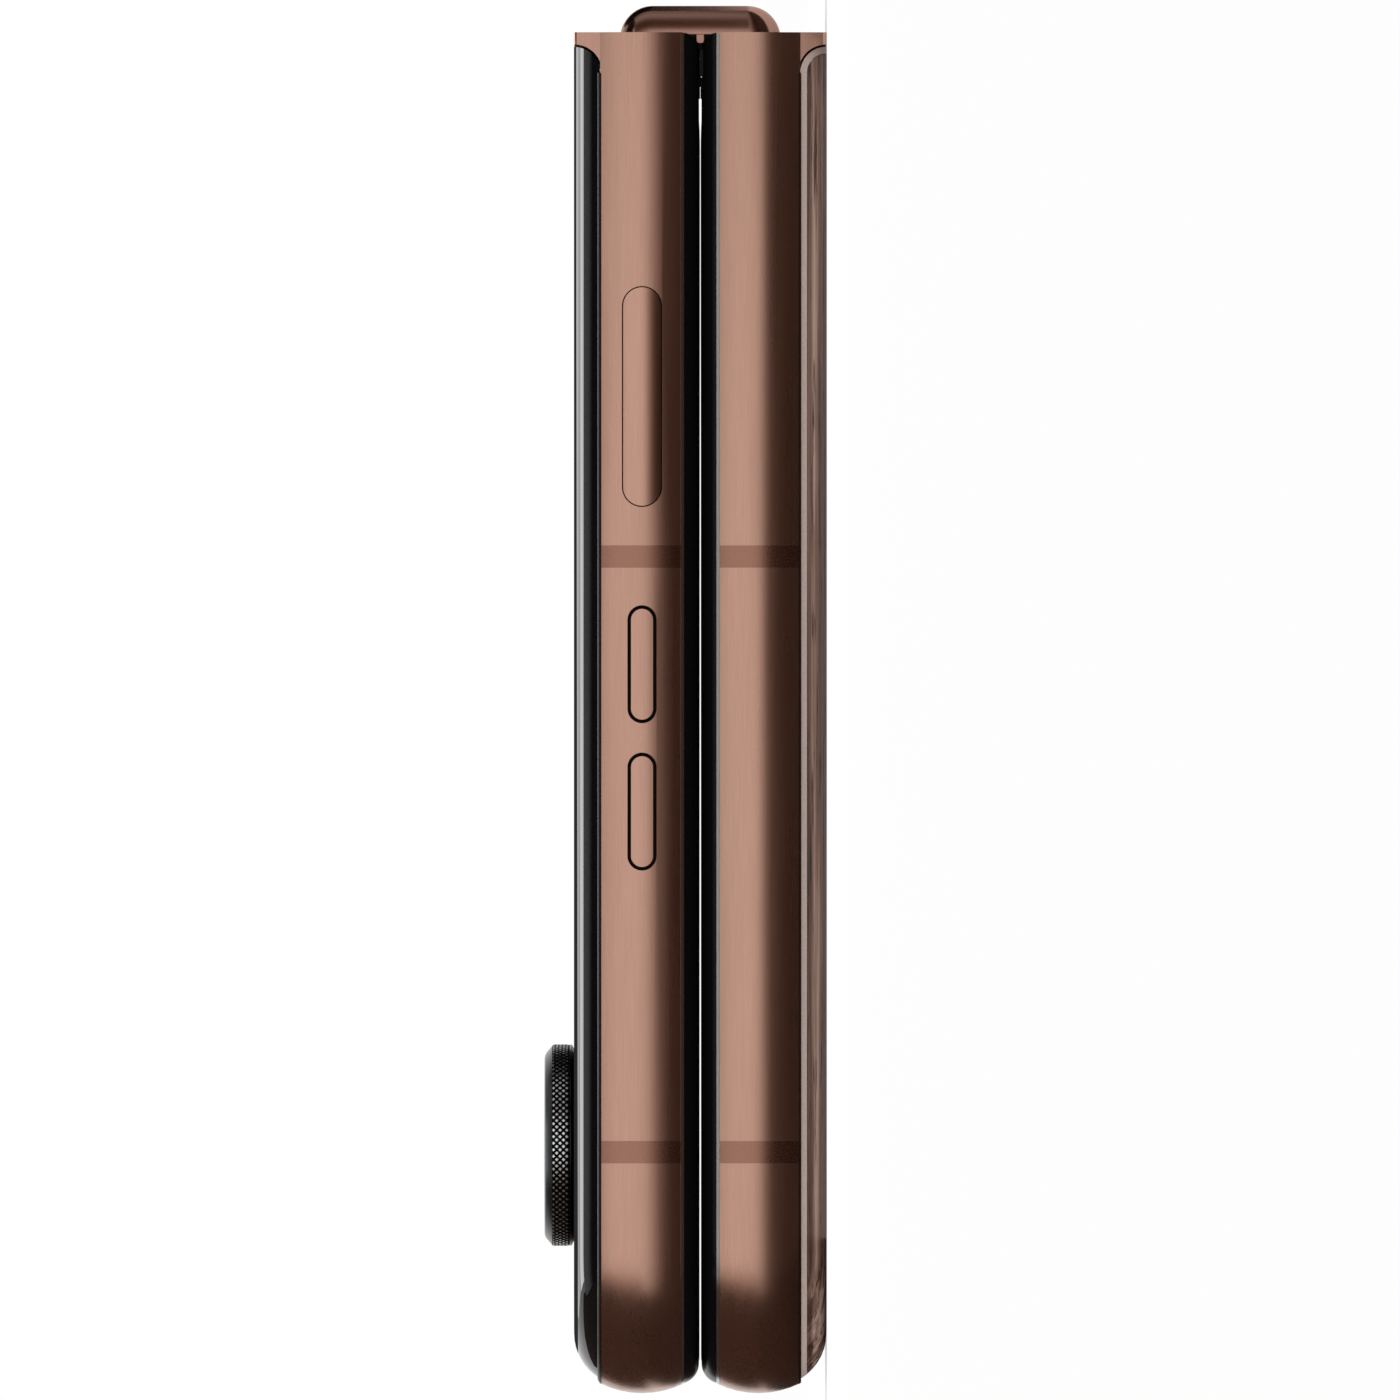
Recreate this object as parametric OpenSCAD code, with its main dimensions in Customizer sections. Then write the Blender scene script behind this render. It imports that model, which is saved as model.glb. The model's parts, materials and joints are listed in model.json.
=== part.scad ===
// Folding clamshell phone, stored closed and lying on its rear panel.
// X runs along the fold, +Y points to the hinge, +Z points out of the cover glass.
// The two halves share one construction, drawn for the base and mirrored for the lid.

/* [Body] */
// Width across the fold
body_w = 74; // [68:0.5:80]
// Length of each half, from its free end to its hinge edge
body_l = 86; // [84:0.5:94]
// Thickness of each half
half_t = 7.9; // [7.6:0.1:9]
// Space between the two closed halves
closed_gap = 0.16; // [0.12:0.02:0.3]
// Plan radius of the corners at the free end
corner_r = 9; // [8:0.5:11]

/* [Frame band] */
// Depth of the seam between the band and the outer cover
cover_edge = 1.66; // [1.5:0.02:1.8]
// How far the middle of the band bulges past its edges
band_bulge = 0.62; // [0.4:0.02:0.8]
// Wall thickness of the band
wall = 2; // [1.8:0.1:2.2]
// Thickness of the inner mid plate
web_t = 0.8; // [0.6:0.1:1]
// Thickness of the end bar along the hinge edge
lip_t = 0.9; // [0.7:0.1:1.2]
// Width of each plastic antenna break
break_w = 1.4; // [1:0.1:2]
// Depth of each antenna break into the band
break_depth = 1.2; // [0.8:0.1:1.5]
// Distance of the first antenna break from the hinge edge
break_1 = 33.1; // [32:0.1:34]
// Distance of the second antenna break from the hinge edge
break_2 = 70.7; // [66:0.1:72]

/* [Covers] */
// Thickness of the glass and the rear panel
cover_t = 0.8; // [0.6:0.05:0.8]
// Edge radius of the glass and the rear panel
cover_edge_r = 3.3; // [3:0.1:7]
// Width of the pale trim round the rear panel
trim_w = 0.42; // [0.3:0.02:0.6]
// Height of the black bezel above the band
bezel_h = 0.95; // [0.85:0.05:1.1]
// Width of the bezel lip over the display
bezel_lip = 1.6; // [1.3:0.1:2]

/* [Displays] */
// Thickness of the folding display with its support plate
display_t = 0.9; // [0.8:0.05:0.95]
// Depth of the display surface below the bezel
display_sink = 0.34; // [0.32:0.02:0.4]
// Thickness of the cover display
cover_display_t = 0.6; // [0.4:0.1:0.7]
// Radius of the hole for the inner camera
selfie_r = 1.8; // [1.4:0.1:2.2]

/* [Hinge] */
// Height of the spine above the hinge edges of the closed halves
spine_rise = 1.7; // [1.5:0.1:2]
// Width of the spine across the two halves
spine_w = 10.16; // [9.4:0.02:10.6]
// Corner radius of the spine
spine_r = 2.1; // [1.6:0.1:2.2]
// Wall thickness of the spine cover
spine_wall = 0.55; // [0.4:0.05:0.6]
// Distance of each fold pivot from the middle of the fold
pivot_off = 1.1; // [1.06:0.02:1.2]
// Radius of the hinge pins
pin_r = 0.35; // [0.25:0.05:0.4]
// Thickness of each hinge arm
arm_t = 0.75; // [0.6:0.05:0.75]
// Length of the hinge arms
arm_l = 12; // [11:0.5:13]
// Thickness of each bracket plate
plate_t = 0.9; // [0.6:0.1:0.9]
// Width of the gears
gear_w = 1.2; // [0.8:0.1:1.2]
// Module of the gears
gear_module = 0.1; // [0.09:0.005:0.1]
// Tooth count of the gears on the arms
arm_teeth = 14; // [14:2:14]
// Tooth count of the idler gears
idler_teeth = 12; // [12:2:12]
// Radius of the idler axles
axle_r = 0.22; // [0.15:0.01:0.25]

/* [Keys] */
// Length of the power key
power_l = 13.8; // [12:0.1:16]
// Width of the power key
power_w = 2.4; // [2:0.1:2.8]
// Distance of the power key from the hinge edge
power_at = 23; // [22:0.1:24]
// How far the power key stands out of the band
power_proud = 0.08; // [0.05:0.01:0.3]
// Length of each volume key
volume_l = 7; // [6:0.1:8]
// Width of each volume key
volume_w = 1.4; // [1.3:0.02:1.9]
// Distance of the first volume key from the hinge edge
volume_1 = 39.9; // [39:0.1:41]
// Distance of the second volume key from the hinge edge
volume_2 = 49.2; // [48.8:0.1:51]
// How far the volume keys stand out of the band
volume_proud = 0.35; // [0.2:0.01:0.5]
// Radius of the crown on the power key
power_crown = 3; // [2:0.1:4]
// Radius of the crown on the volume keys
volume_crown = 6; // [3:0.5:8]
// Travel of the keys
key_travel = 0.25; // [0.15:0.01:0.3]

/* [Cameras] */
// Outer radius of each camera ring
ring_r = 6.4; // [5.6:0.05:6.8]
// Height of each camera ring above the glass
ring_h = 1.95; // [1.4:0.05:2.2]
// Radius of the window in each ring
window_r = 4.6; // [4:0.1:4.8]
// Distance of the cameras from the free end
camera_at = 15.4; // [15:0.1:17]
// Distance of the outer camera from the side
camera_in = 13; // [12:0.1:14]
// Distance between the two cameras
camera_pitch = 16.5; // [15.5:0.1:18]
// Width of each camera module
module_w = 10; // [9:0.5:10.5]
// Radius of the flash lens
flash_r = 1.3; // [1:0.1:1.6]
// Distance of the flash lens behind the line of the cameras
flash_back = 6; // [5.5:0.1:7]
// Distance of the inner camera from the free end
selfie_at = 6.2; // [5.8:0.1:6.8]

/* [Sockets] */
// Width of the charging socket
usb_w = 8.34; // [8:0.02:9]
// Height of the charging socket
usb_h = 2.56; // [2.4:0.02:2.8]
// Depth of the charging socket
usb_l = 6.2; // [5.6:0.1:6.8]
// Length of the card tray's face
tray_face_l = 14; // [13:0.5:15]
// Length of the card tray into the phone
tray_l = 13; // [11:0.5:14]
// Thickness of the card tray
tray_t = 0.8; // [0.6:0.1:1]
// Distance of the card tray from the free end
tray_at = 26; // [25:0.5:27]

/* [Inside] */
// Width of each battery
battery_w = 46; // [40:1:50]
// Length of the base battery
battery_base_l = 34; // [28:1:36]
// Length of the lid battery
battery_lid_l = 32; // [26:1:36]
// Thickness of a circuit board
board_t = 0.8; // [0.6:0.1:1]
// Height of the shield cans
can_h = 1.3; // [1:0.1:1.6]
// Radius of the charging coil
coil_r = 19; // [15:0.5:20]
// Gap between the hinge's room and the batteries
battery_gap = 5.5; // [5:0.5:7]
// Length of the main board along Y
board_l = 13; // [11:0.5:14]
// Distance of the main board from the free end
board_at = 16.5; // [16:0.5:18]
// Length of the loudspeaker along X
speaker_w = 15.5; // [12:0.5:18]
// Length of the loudspeaker along Y
speaker_l = 9; // [7:0.5:10]
// Distance of the loudspeaker and the earpiece from the centre line
speaker_x = 8; // [7.5:0.5:10]
// Radius of the vibration motor
motor_r = 4.5; // [4:0.5:5]
// Height of the vibration motor
motor_h = 3; // [2:0.5:3.5]
// Distance of the vibration motor from the centre line
motor_x = 18; // [14:0.5:20]
// Length of the earpiece along X
earpiece_w = 12; // [8:0.5:14]
// Length of the earpiece along Y
earpiece_l = 4; // [3:0.5:5]
// Height of the earpiece
earpiece_h = 2.4; // [2:0.2:3]
// Length of each magnet along X
magnet_w = 5; // [3:0.5:6]
// Length of each magnet along Y
magnet_l = 4; // [3:0.5:5]
// Height of each magnet
magnet_h = 1.5; // [1:0.1:2]

/* [Clearances] */
// Running clearance round pins and axles
fit_gap = 0.015; // [0.01:0.005:0.03]
// Gap between parts that are set into each other
seat_gap = 0.04; // [0.03:0.01:0.08]
// Gap round the power key
power_gap = 0.07; // [0.05:0.01:0.12]
// Gap round the volume keys
volume_gap = 0.22; // [0.08:0.01:0.3]
// Gap between an outer cover and the bar along the hinge edge
bar_gap = 0.14; // [0.04:0.01:0.2]
// Gap round the turning spine
spine_gap = 0.15; // [0.12:0.01:0.25]
// Half the gap between the two halves when open
end_gap = 0.05; // [0.03:0.01:0.1]

/* [Hidden] */

fine = 180;   // facets of large arcs
round = 64;   // facets of ordinary circles
small = 32;   // facets of small circles
past = 1;     // how far a cut runs past a face

// Places along Y
free_y = -(body_l + spine_rise) / 2;
hinge_y = free_y + body_l;
corner_y = free_y + corner_r;
// Heights in a half, measured from its outer face
band_top = half_t - bezel_h;
band_h = band_top - cover_edge;
band_mid = cover_edge + band_h / 2;
barrel_r = (band_h * band_h / 4 + band_bulge * band_bulge) / (2 * band_bulge);
display_top = half_t - display_sink;
display_bottom = display_top - display_t;
web_top = display_bottom - seat_gap;
web_bottom = web_top - web_t;
fold_z = half_t + closed_gap / 2;
// The outer cover starts inside the band's edge
cover_in = band_bulge + 0.28;
flat_in = cover_in + sqrt(2 * cover_edge_r * cover_edge - cover_edge * cover_edge);
// Half the width of the cover's flat middle, which runs into the curved edges
flat_x = body_w / 2 - (flat_in + corner_r) / 2;
cover_end_y = hinge_y - lip_t - cover_edge;
// Fold pivots of the base
pivot_y = hinge_y - pivot_off + end_gap;
pivot_z = fold_z - pivot_off;
// The spine turns inside this radius about each pivot
spine_corner = [spine_w / 2 - spine_r - pivot_off, hinge_y + spine_rise - spine_r - pivot_y];
spine_reach = max(norm(spine_corner) + spine_r, spine_w / 2 - pivot_off + spine_gap);
pocket_r = spine_reach + spine_gap;
pocket_wall = 0.7;
nose_r = pivot_off - closed_gap / 2 - display_sink;
bezel_nose_r = pivot_off - closed_gap / 2;
// Places along X, measured from the centre line
side_in = body_w / 2 - wall;
arm_x = side_in - seat_gap - arm_t;
spine_end = side_in - spine_gap;
plate_gap = 0.1;
plate_x2 = arm_x - plate_gap;
plate_x1 = plate_x2 - 2 * plate_t - gear_w - 2 * plate_gap;
gear_x = plate_x1 + plate_t + plate_gap;
knuckle_r = pin_r + 0.5;
knuckle_room = knuckle_r + 0.3;
display_in = wall + arm_t + 0.4;
// Gear train
arm_pitch_r = gear_module * arm_teeth / 2;
idler_pitch_r = gear_module * idler_teeth / 2;
mesh_r = arm_pitch_r + idler_pitch_r;
idler_y = pivot_y + sqrt(mesh_r * mesh_r - pow(pivot_off - idler_pitch_r, 2));
// Inner room of a half
room_bottom = cover_t + seat_gap;
part_top = web_bottom - seat_gap;

// ---------- helpers ----------

// Draws its child at the lid's place
module on_lid() { translate([0, 0, 2 * fold_z]) mirror([0, 0, 1]) children(); }

// Draws its child on both sides of the centre line
module both_sides() { for (s = [0, 1]) mirror([s, 0, 0]) children(); }

// Extrudes a (Y, Z) outline from x1 to x2
module along_x(x1, x2) {
    translate([x1, 0, 0]) rotate([90, 0, 90]) linear_extrude(x2 - x1) children();
}

// Extrudes an (X, Z) outline from y1 to y2
module along_y(y1, y2) {
    translate([0, y2, 0]) rotate([90, 0, 0]) linear_extrude(y2 - y1) children();
}

// Sweeps an outline round both sides and the free end; x = 0 is the outermost line
module rim_sweep(y_end) {
    both_sides() {
        translate([body_w / 2, 0, 0]) along_y(corner_y, y_end) children();
        translate([body_w / 2 - corner_r, corner_y, 0]) rotate([0, 0, -90])
            rotate_extrude(angle = 90, $fn = fine) translate([corner_r, 0]) children();
    }
    translate([body_w / 2 - corner_r, free_y, 0]) rotate([0, 0, -90]) rotate([90, 0, 0])
        linear_extrude(body_w - 2 * corner_r) children();
}

// Plan outline of a half, moved inward
module plan(inset, y_end) {
    r = corner_r - inset;
    w = body_w - 2 * inset;
    translate([-w / 2, corner_y]) square([w, y_end - corner_y]);
    translate([-w / 2 + r, free_y + inset]) square([w - 2 * r, r]);
    for (s = [-1, 1]) translate([s * (w / 2 - r), corner_y]) circle(r, $fn = fine);
}

// A slot-shaped outline with round ends, long in Y
module pill(l, w) {
    square([w, l - w], center = true);
    for (s = [-1, 1]) translate([0, s * (l - w) / 2]) circle(w / 2, $fn = round);
}

// A pill that is extruded outward along X, from x1 to x2
module pill_x(l, w, x1, x2, y, z) {
    translate([x1, y, z]) rotate([0, 90, 0]) linear_extrude(x2 - x1) rotate(0) pill(l, w);
}

module slab(x1, x2, y1, y2, z1, z2) {
    translate([x1, y1, z1]) cube([x2 - x1, y2 - y1, z2 - z1]);
}

// ---------- outlines ----------

// The band's section, with a convex outer face
module band_section(depth) {
    intersection() {
        translate([-barrel_r, band_mid]) circle(barrel_r, $fn = fine);
        translate([-depth, cover_edge]) square([depth, band_h]);
    }
}

// The outside of a half below the band, convex towards the edge
module outer_section() {
    intersection() {
        union() {
            translate([-flat_in, cover_edge_r]) circle(cover_edge_r, $fn = fine);
            translate([-corner_r, 0]) square([corner_r - flat_in, cover_edge]);
        }
        translate([-corner_r, 0]) square([corner_r, cover_edge]);
    }
}

// The outside of the bar along the hinge edge, upright with a small round
module bar_section() {
    bar_in = band_bulge + 0.04;
    r = 0.3;
    translate([-corner_r, 0]) square([corner_r - bar_in - r, cover_edge]);
    translate([-bar_in - r, r]) square([r, cover_edge - r]);
    translate([-bar_in - r, r]) circle(r, $fn = round);
}

// The section of an outer cover: a curved sheet with a thick edge
module cover_section(depth) {
    difference() {
        outer_section();
        translate([-flat_in, cover_edge_r]) circle(cover_edge_r - cover_t, $fn = fine);
        translate([-corner_r - past, cover_t]) square([corner_r + past - flat_in, cover_edge]);
    }
    intersection() {
        outer_section();
        translate([-depth, 0]) square([depth, cover_edge]);
    }
}

// Side view of the space under an outer cover, rounded towards the hinge edge
module cover_side(depth) {
    translate([free_y - past, 0]) square([cover_end_y - free_y + past, depth]);
    intersection() {
        translate([cover_end_y, 0]) circle(depth, $fn = fine);
        translate([cover_end_y, 0]) square([depth, depth]);
    }
}

// Side view of the room that the spine needs inside a half
module pocket_side() {
    floor_z = pivot_z - pocket_r;
    intersection() {
        translate([pivot_y, pivot_z]) circle(pocket_r, $fn = fine);
        translate([pivot_y - pocket_r, floor_z]) square([pocket_r, pocket_r]);
    }
    translate([pivot_y, floor_z]) square([pivot_off + past, pocket_r]);
    translate([pivot_y - pocket_r, pivot_z])
        square([pocket_r + pivot_off + past, pivot_off + past]);
}

// Side view of what is cut off a corner so that it turns past the other half
module nose_cut(r) {
    difference() {
        translate([pivot_y, pivot_z]) square([pivot_off + past, pivot_off + past]);
        translate([pivot_y, pivot_z]) circle(r, $fn = fine);
    }
}

// ---------- shared parts of the two halves ----------

module outer_cover() {
    rim_sweep(hinge_y) cover_section(wall - seat_gap);
    slab(-flat_x, flat_x, free_y + body_w / 2 - flat_x, hinge_y, 0, cover_t);
}

module cover_cut(depth) { along_x(-body_w, body_w) cover_side(depth); }

module break_slabs(extra) {
    for (at = [break_1, break_2]) both_sides()
        slab(body_w / 2 - break_depth, body_w / 2 + past,
             hinge_y - at - break_w / 2, hinge_y - at + break_w / 2,
             cover_edge - extra, band_top + extra);
}

// The bar along the hinge edge, over the ends of the outer cover
module end_bar() {
    bar_y = cover_end_y - bar_gap;
    difference() {
        union() {
            both_sides() translate([body_w / 2, 0, 0]) along_y(bar_y, hinge_y) {
                band_section(wall);
                bar_section();
            }
            slab(-flat_x, flat_x, bar_y, hinge_y, 0, cover_edge);
        }
        cover_cut(cover_edge + bar_gap);
    }
}

// The walls round the spine's pocket
module hinge_block() {
    block_y = pivot_y - pocket_r - pocket_wall;
    slab(-side_in - wall / 4, side_in + wall / 4, block_y, hinge_y, cover_edge, web_top);
}

arm_foot_x = side_in - 3.4;
arm_y = pivot_y - arm_l;
foot_y = pivot_y - pocket_r - pocket_wall - seat_gap;
foot_t = 0.6;
screw_x = side_in - 2.2;
screw_ys = [arm_y + 1.3, foot_y - 1.3];
screw_r = 0.45;
screw_head_r = 0.8;
screw_l = 1.5;

module arm_recess() {
    both_sides() slab(arm_foot_x - seat_gap, side_in, arm_y - seat_gap, foot_y + seat_gap,
                      web_top - foot_t - seat_gap, web_top + past);
    // the arms also pass the back wall of the pocket
    both_sides() slab(arm_x - seat_gap, side_in, foot_y - past, pivot_y, web_top - seat_gap, fold_z);
}

module arm_pads() {
    both_sides() slab(arm_foot_x - 1, side_in + wall / 4, arm_y - 1, foot_y,
                      web_bottom - screw_l, web_top);
}

module screw_holes() {
    both_sides() for (y = screw_ys) translate([screw_x, y, web_top - foot_t - screw_l])
        cylinder(h = foot_t + screw_l + past, r = screw_r + fit_gap, $fn = small);
}

module half_frame() {
    difference() {
        union() {
            rim_sweep(hinge_y) band_section(wall);
            translate([0, 0, web_bottom]) linear_extrude(web_t)
                plan(wall - wall / 4, pivot_y - pocket_r);
            arm_pads();
            hinge_block();
            end_bar();
        }
        along_x(-side_in, side_in) pocket_side();
        along_x(-body_w, body_w) nose_cut(bezel_nose_r);
        arm_recess();
        screw_holes();
        break_slabs(past);
    }
}

module half_breaks() {
    intersection() {
        both_sides() translate([body_w / 2, 0, 0]) along_y(corner_y, hinge_y) band_section(wall);
        break_slabs(0);
    }
}

bezel_edge_r = 1.3;
bezel_out = band_bulge + 0.02;
// A bumper beside the fold, and the wider gap that runs on from it
bumper_near = 1.1;
bumper_far = 2.78;
bumper_gap = 0.03;
bumper_w = 0.54;
relief_far = 6.4;
relief_depth = 0.06;

module bezel_section() {
    turn = sqrt(2 * bezel_edge_r * bezel_h - bezel_h * bezel_h);
    intersection() {
        union() {
            translate([-bezel_out - turn, half_t - bezel_edge_r]) circle(bezel_edge_r, $fn = fine);
            translate([-corner_r, band_top]) square([corner_r - bezel_out - turn, bezel_h]);
        }
        union() {
            translate([-wall, band_top + 0.01]) square([wall, bezel_h]);
            translate([-display_in - bezel_lip, display_top + 0.02])
                square([display_in + bezel_lip - wall, display_sink]);
        }
    }
}

// The bezel, cut back for the hinge and with one low bumper that meets the other bezel
module half_bezel(bumper_side) {
    difference() {
        rim_sweep(hinge_y - seat_gap) bezel_section();
        slab(-side_in - seat_gap, side_in + seat_gap, pivot_y - knuckle_room,
             hinge_y + past, 0, fold_z + past);
        along_x(-body_w, body_w) nose_cut(bezel_nose_r);
        along_x(-body_w, body_w) polygon([
            [hinge_y - bumper_far, half_t - relief_depth], [hinge_y - bumper_far, half_t + past],
            [hinge_y - relief_far, half_t + past], [hinge_y - relief_far, half_t],
            [hinge_y - (bumper_far + relief_far) / 2, half_t - relief_depth]]);
    }
    mirror([bumper_side, 0, 0]) slab(side_in + 2 * seat_gap, side_in + 2 * seat_gap + bumper_w,
        hinge_y - bumper_far, hinge_y - bumper_near, band_top + bezel_h / 2,
        half_t + closed_gap - bumper_gap);
}

module half_display() {
    difference() {
        translate([0, 0, display_bottom]) linear_extrude(display_t)
            plan(display_in, pivot_y + nose_r);
        along_x(-body_w, body_w) nose_cut(nose_r);
        both_sides() slab(plate_x1 - spine_gap, body_w, pivot_y - knuckle_room,
                          hinge_y, 0, fold_z);
    }
}

module half_magnets() {
    y1 = free_y + corner_r;
    both_sides() slab(side_in - 1 - magnet_w, side_in - 1, y1, y1 + magnet_l,
                      part_top - magnet_h, part_top);
}

module half_arms() {
    both_sides() difference() {
        union() {
            slab(arm_x, arm_x + arm_t, arm_y, pivot_y, web_top, pivot_z + pin_r);
            slab(arm_foot_x, arm_x + arm_t, arm_y, foot_y, web_top - foot_t, web_top);
            translate([arm_x, pivot_y, pivot_z]) rotate([0, 90, 0])
                cylinder(h = arm_t, r = knuckle_r - 0.1, $fn = round);
        }
        translate([arm_x - past, pivot_y, pivot_z]) rotate([0, 90, 0])
            cylinder(h = arm_t + 2 * past, r = pin_r + fit_gap, $fn = small);
        for (y = screw_ys) translate([screw_x, y, 0])
            cylinder(h = half_t, r = screw_r + fit_gap, $fn = small);
        for (y = screw_ys) translate([screw_x, y, web_top - foot_t / 2])
            cylinder(h = half_t, r = screw_head_r + fit_gap, $fn = small);
    }
}

module half_arm_screws() {
    both_sides() for (y = screw_ys) translate([screw_x, y, 0]) {
        translate([0, 0, web_top - foot_t - screw_l + seat_gap])
            cylinder(h = foot_t / 2 + screw_l, r = screw_r, $fn = small);
        translate([0, 0, web_top - foot_t / 2 + fit_gap])
            cylinder(h = foot_t / 2 - fit_gap, r = screw_head_r, $fn = small);
    }
}

module half_pins() {
    both_sides() translate([plate_x1 - plate_gap, pivot_y, pivot_z]) rotate([0, 90, 0])
        cylinder(h = arm_x + arm_t - plate_x1 + plate_gap, r = pin_r, $fn = small);
}

// ---------- gears ----------

// One gear outline with straight-sided teeth, a tooth pointing along +X
module gear_2d(teeth, hole) {
    pitch_r = gear_module * teeth / 2;
    root_r = pitch_r - 1.15 * gear_module;
    tip_r = pitch_r + 0.8 * gear_module;
    step = 360 / teeth;
    difference() {
        polygon([for (i = [0 : teeth - 1]) for (p = [
            [root_r, -0.33], [pitch_r, -0.21], [tip_r, -0.1],
            [tip_r, 0.1], [pitch_r, 0.21], [root_r, 0.33]])
            p[0] * [cos((i + p[1]) * step), sin((i + p[1]) * step)]]);
        circle(hole, $fn = small);
    }
}

// A pair of gears, one at each end of the hinge; turn is in degrees
module gear_pair(teeth, hole, y, z, turn) {
    both_sides() translate([gear_x, y, z]) rotate([90, 0, 90]) rotate(turn)
        linear_extrude(gear_w) gear_2d(teeth, hole);
}

// Direction from the base pivot to its idler, in the (Y, Z) plane
mesh_dir = atan2(pivot_off - idler_pitch_r, idler_y - pivot_y);
// Phase that puts an idler's gap on the arm gear's tooth
idler_phase = mesh_dir + 180 + 180 / idler_teeth;
// Phase of the other idler, so that the two idlers mesh at the fold plane
pair_steps = (90 - idler_phase) * idler_teeth / 360;
idler_phase_2 = -90 + 180 / idler_teeth + pair_steps * 360 / idler_teeth;
// Phase of the lid's arm gear, which meshes with the second idler
lid_steps = (-mesh_dir - 180 - idler_phase_2) * idler_teeth / 360;
lid_gear_phase = -mesh_dir + 180 / arm_teeth + lid_steps * 360 / arm_teeth;

module base_gears() { gear_pair(arm_teeth, pin_r + fit_gap, pivot_y, pivot_z, mesh_dir); }
module lid_gears() {
    gear_pair(arm_teeth, pin_r + fit_gap, pivot_y, 2 * fold_z - pivot_z, lid_gear_phase);
}

// ---------- base ----------

usb_wall = 0.3;
usb_y = free_y + 0.35;

// A hole with the shape of the charging socket, grown by a margin
module usb_shape(margin, y1, y2) {
    translate([0, 0, band_mid]) along_y(y1, y2) rotate(90)
        pill(usb_w + 2 * margin, usb_h + 2 * margin);
}

module base_frame() {
    color("#a9806d") difference() {
        half_frame();
        usb_shape(usb_wall + seat_gap, free_y - past, usb_y + usb_l + usb_wall + seat_gap);
        for (i = [0 : 5]) translate([speaker_x + (i + 0.8) * speaker_w / 6.6, free_y - past, band_mid])
            rotate([-90, 0, 0]) cylinder(h = wall + 2 * past, r = 0.55, $fn = small);
        translate([-speaker_x - 1.5, free_y - past, band_mid])
            rotate([-90, 0, 0]) cylinder(h = wall + 2 * past, r = 0.4, $fn = small);
        tray_slot();
    }
}

module rear_panel() {
    color("#5a3a2c") intersection() {
        outer_cover();
        cover_cut(cover_edge - trim_w - seat_gap / 2);
    }
}

module panel_trim() {
    color("#9c8273") intersection() {
        outer_cover();
        difference() {
            cover_cut(cover_edge);
            cover_cut(cover_edge - trim_w);
        }
    }
}

module base_bezel() { color("#0d0d0e") half_bezel(0); }
module display_lower() { color("#050506") half_display(); }
module base_antenna_breaks() { color("#7a4f3f") half_breaks(); }

battery_y = pivot_y - pocket_r - pocket_wall - battery_gap;

module battery_lower() {
    color("#2b2b2e") slab(-battery_w / 2, battery_w / 2, battery_y - battery_base_l, battery_y,
                          cover_t + 0.5, part_top);
}

board_y = free_y + board_at;
board_inset = 1;
shield_xs = [-4, 14];
shield_w = 15;

module main_board() {
    color("#1d4a36") slab(-side_in + board_inset, side_in - board_inset, board_y, board_y + board_l,
                          part_top - board_t, part_top);
}

module board_shields() {
    z2 = part_top - board_t;
    color("#b9bcc0") for (x = shield_xs)
        slab(x, x + shield_w, board_y + 1, board_y + board_l - 1, z2 - can_h, z2);
}

module charging_coil() {
    color("#b56a3a") translate([0, battery_y - battery_base_l / 2, room_bottom])
        rotate_extrude($fn = round) translate([coil_r / 2, 0]) square([coil_r / 2, 0.25]);
}

module usb_port() {
    tongue = usb_w / 2 - 1;
    color("#c9cbce") {
        difference() {
            usb_shape(usb_wall, usb_y, usb_y + usb_l + usb_wall);
            usb_shape(0, usb_y - past, usb_y + usb_l);
        }
        slab(-tongue, tongue, usb_y + 1.2, usb_y + usb_l, band_mid - 0.35, band_mid + 0.35);
    }
}

module loudspeaker() {
    y1 = free_y + wall + seat_gap;
    color("#3a3a3d") slab(speaker_x, speaker_x + speaker_w, y1, y1 + speaker_l,
                          cover_edge + seat_gap, part_top);
}

module vibration_motor() {
    color("#9fa2a6") translate([-motor_x, free_y + wall + motor_r + 1.5, part_top - motor_h])
        cylinder(h = motor_h, r = motor_r, $fn = round);
}

tray_y = free_y + tray_at;
tray_z = band_mid;
tray_face_w = 1.9;
tray_face_t = 1;
tray_body_l = tray_face_l - 2.6;
tray_width_gap = 0.1;
tray_tunnel = 0.35;

// The opening for the tray in the left side of the band
module tray_slot() {
    mirror([1, 0, 0]) {
        pill_x(tray_face_l + 2 * seat_gap, tray_face_w + 2 * seat_gap,
               body_w / 2 - tray_face_t - seat_gap, body_w / 2 + past, tray_y, tray_z);
        slab(side_in - past, body_w / 2, tray_y - tray_body_l / 2 - tray_width_gap,
             tray_y + tray_body_l / 2 + tray_width_gap,
             tray_z - tray_t / 2 - tray_width_gap, tray_z + tray_t / 2 + tray_width_gap);
    }
}

module sim_tray() {
    color("#a9806d") mirror([1, 0, 0]) {
        intersection() {
            pill_x(tray_face_l, tray_face_w, body_w / 2 - tray_face_t, body_w / 2,
                   tray_y, tray_z);
            translate([body_w / 2, 0, 0]) along_y(corner_y, hinge_y) band_section(wall);
        }
        difference() {
            slab(body_w / 2 - tray_face_t - tray_l, body_w / 2 - tray_face_t,
                 tray_y - tray_body_l / 2, tray_y + tray_body_l / 2,
                 tray_z - tray_t / 2, tray_z + tray_t / 2);
            slab(body_w / 2 - tray_face_t - tray_l + 1, side_in - 1,
                 tray_y - tray_body_l / 2 + 1, tray_y + tray_body_l / 2 - 1,
                 tray_z - tray_t / 4, tray_z + tray_t);
        }
    }
}

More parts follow.
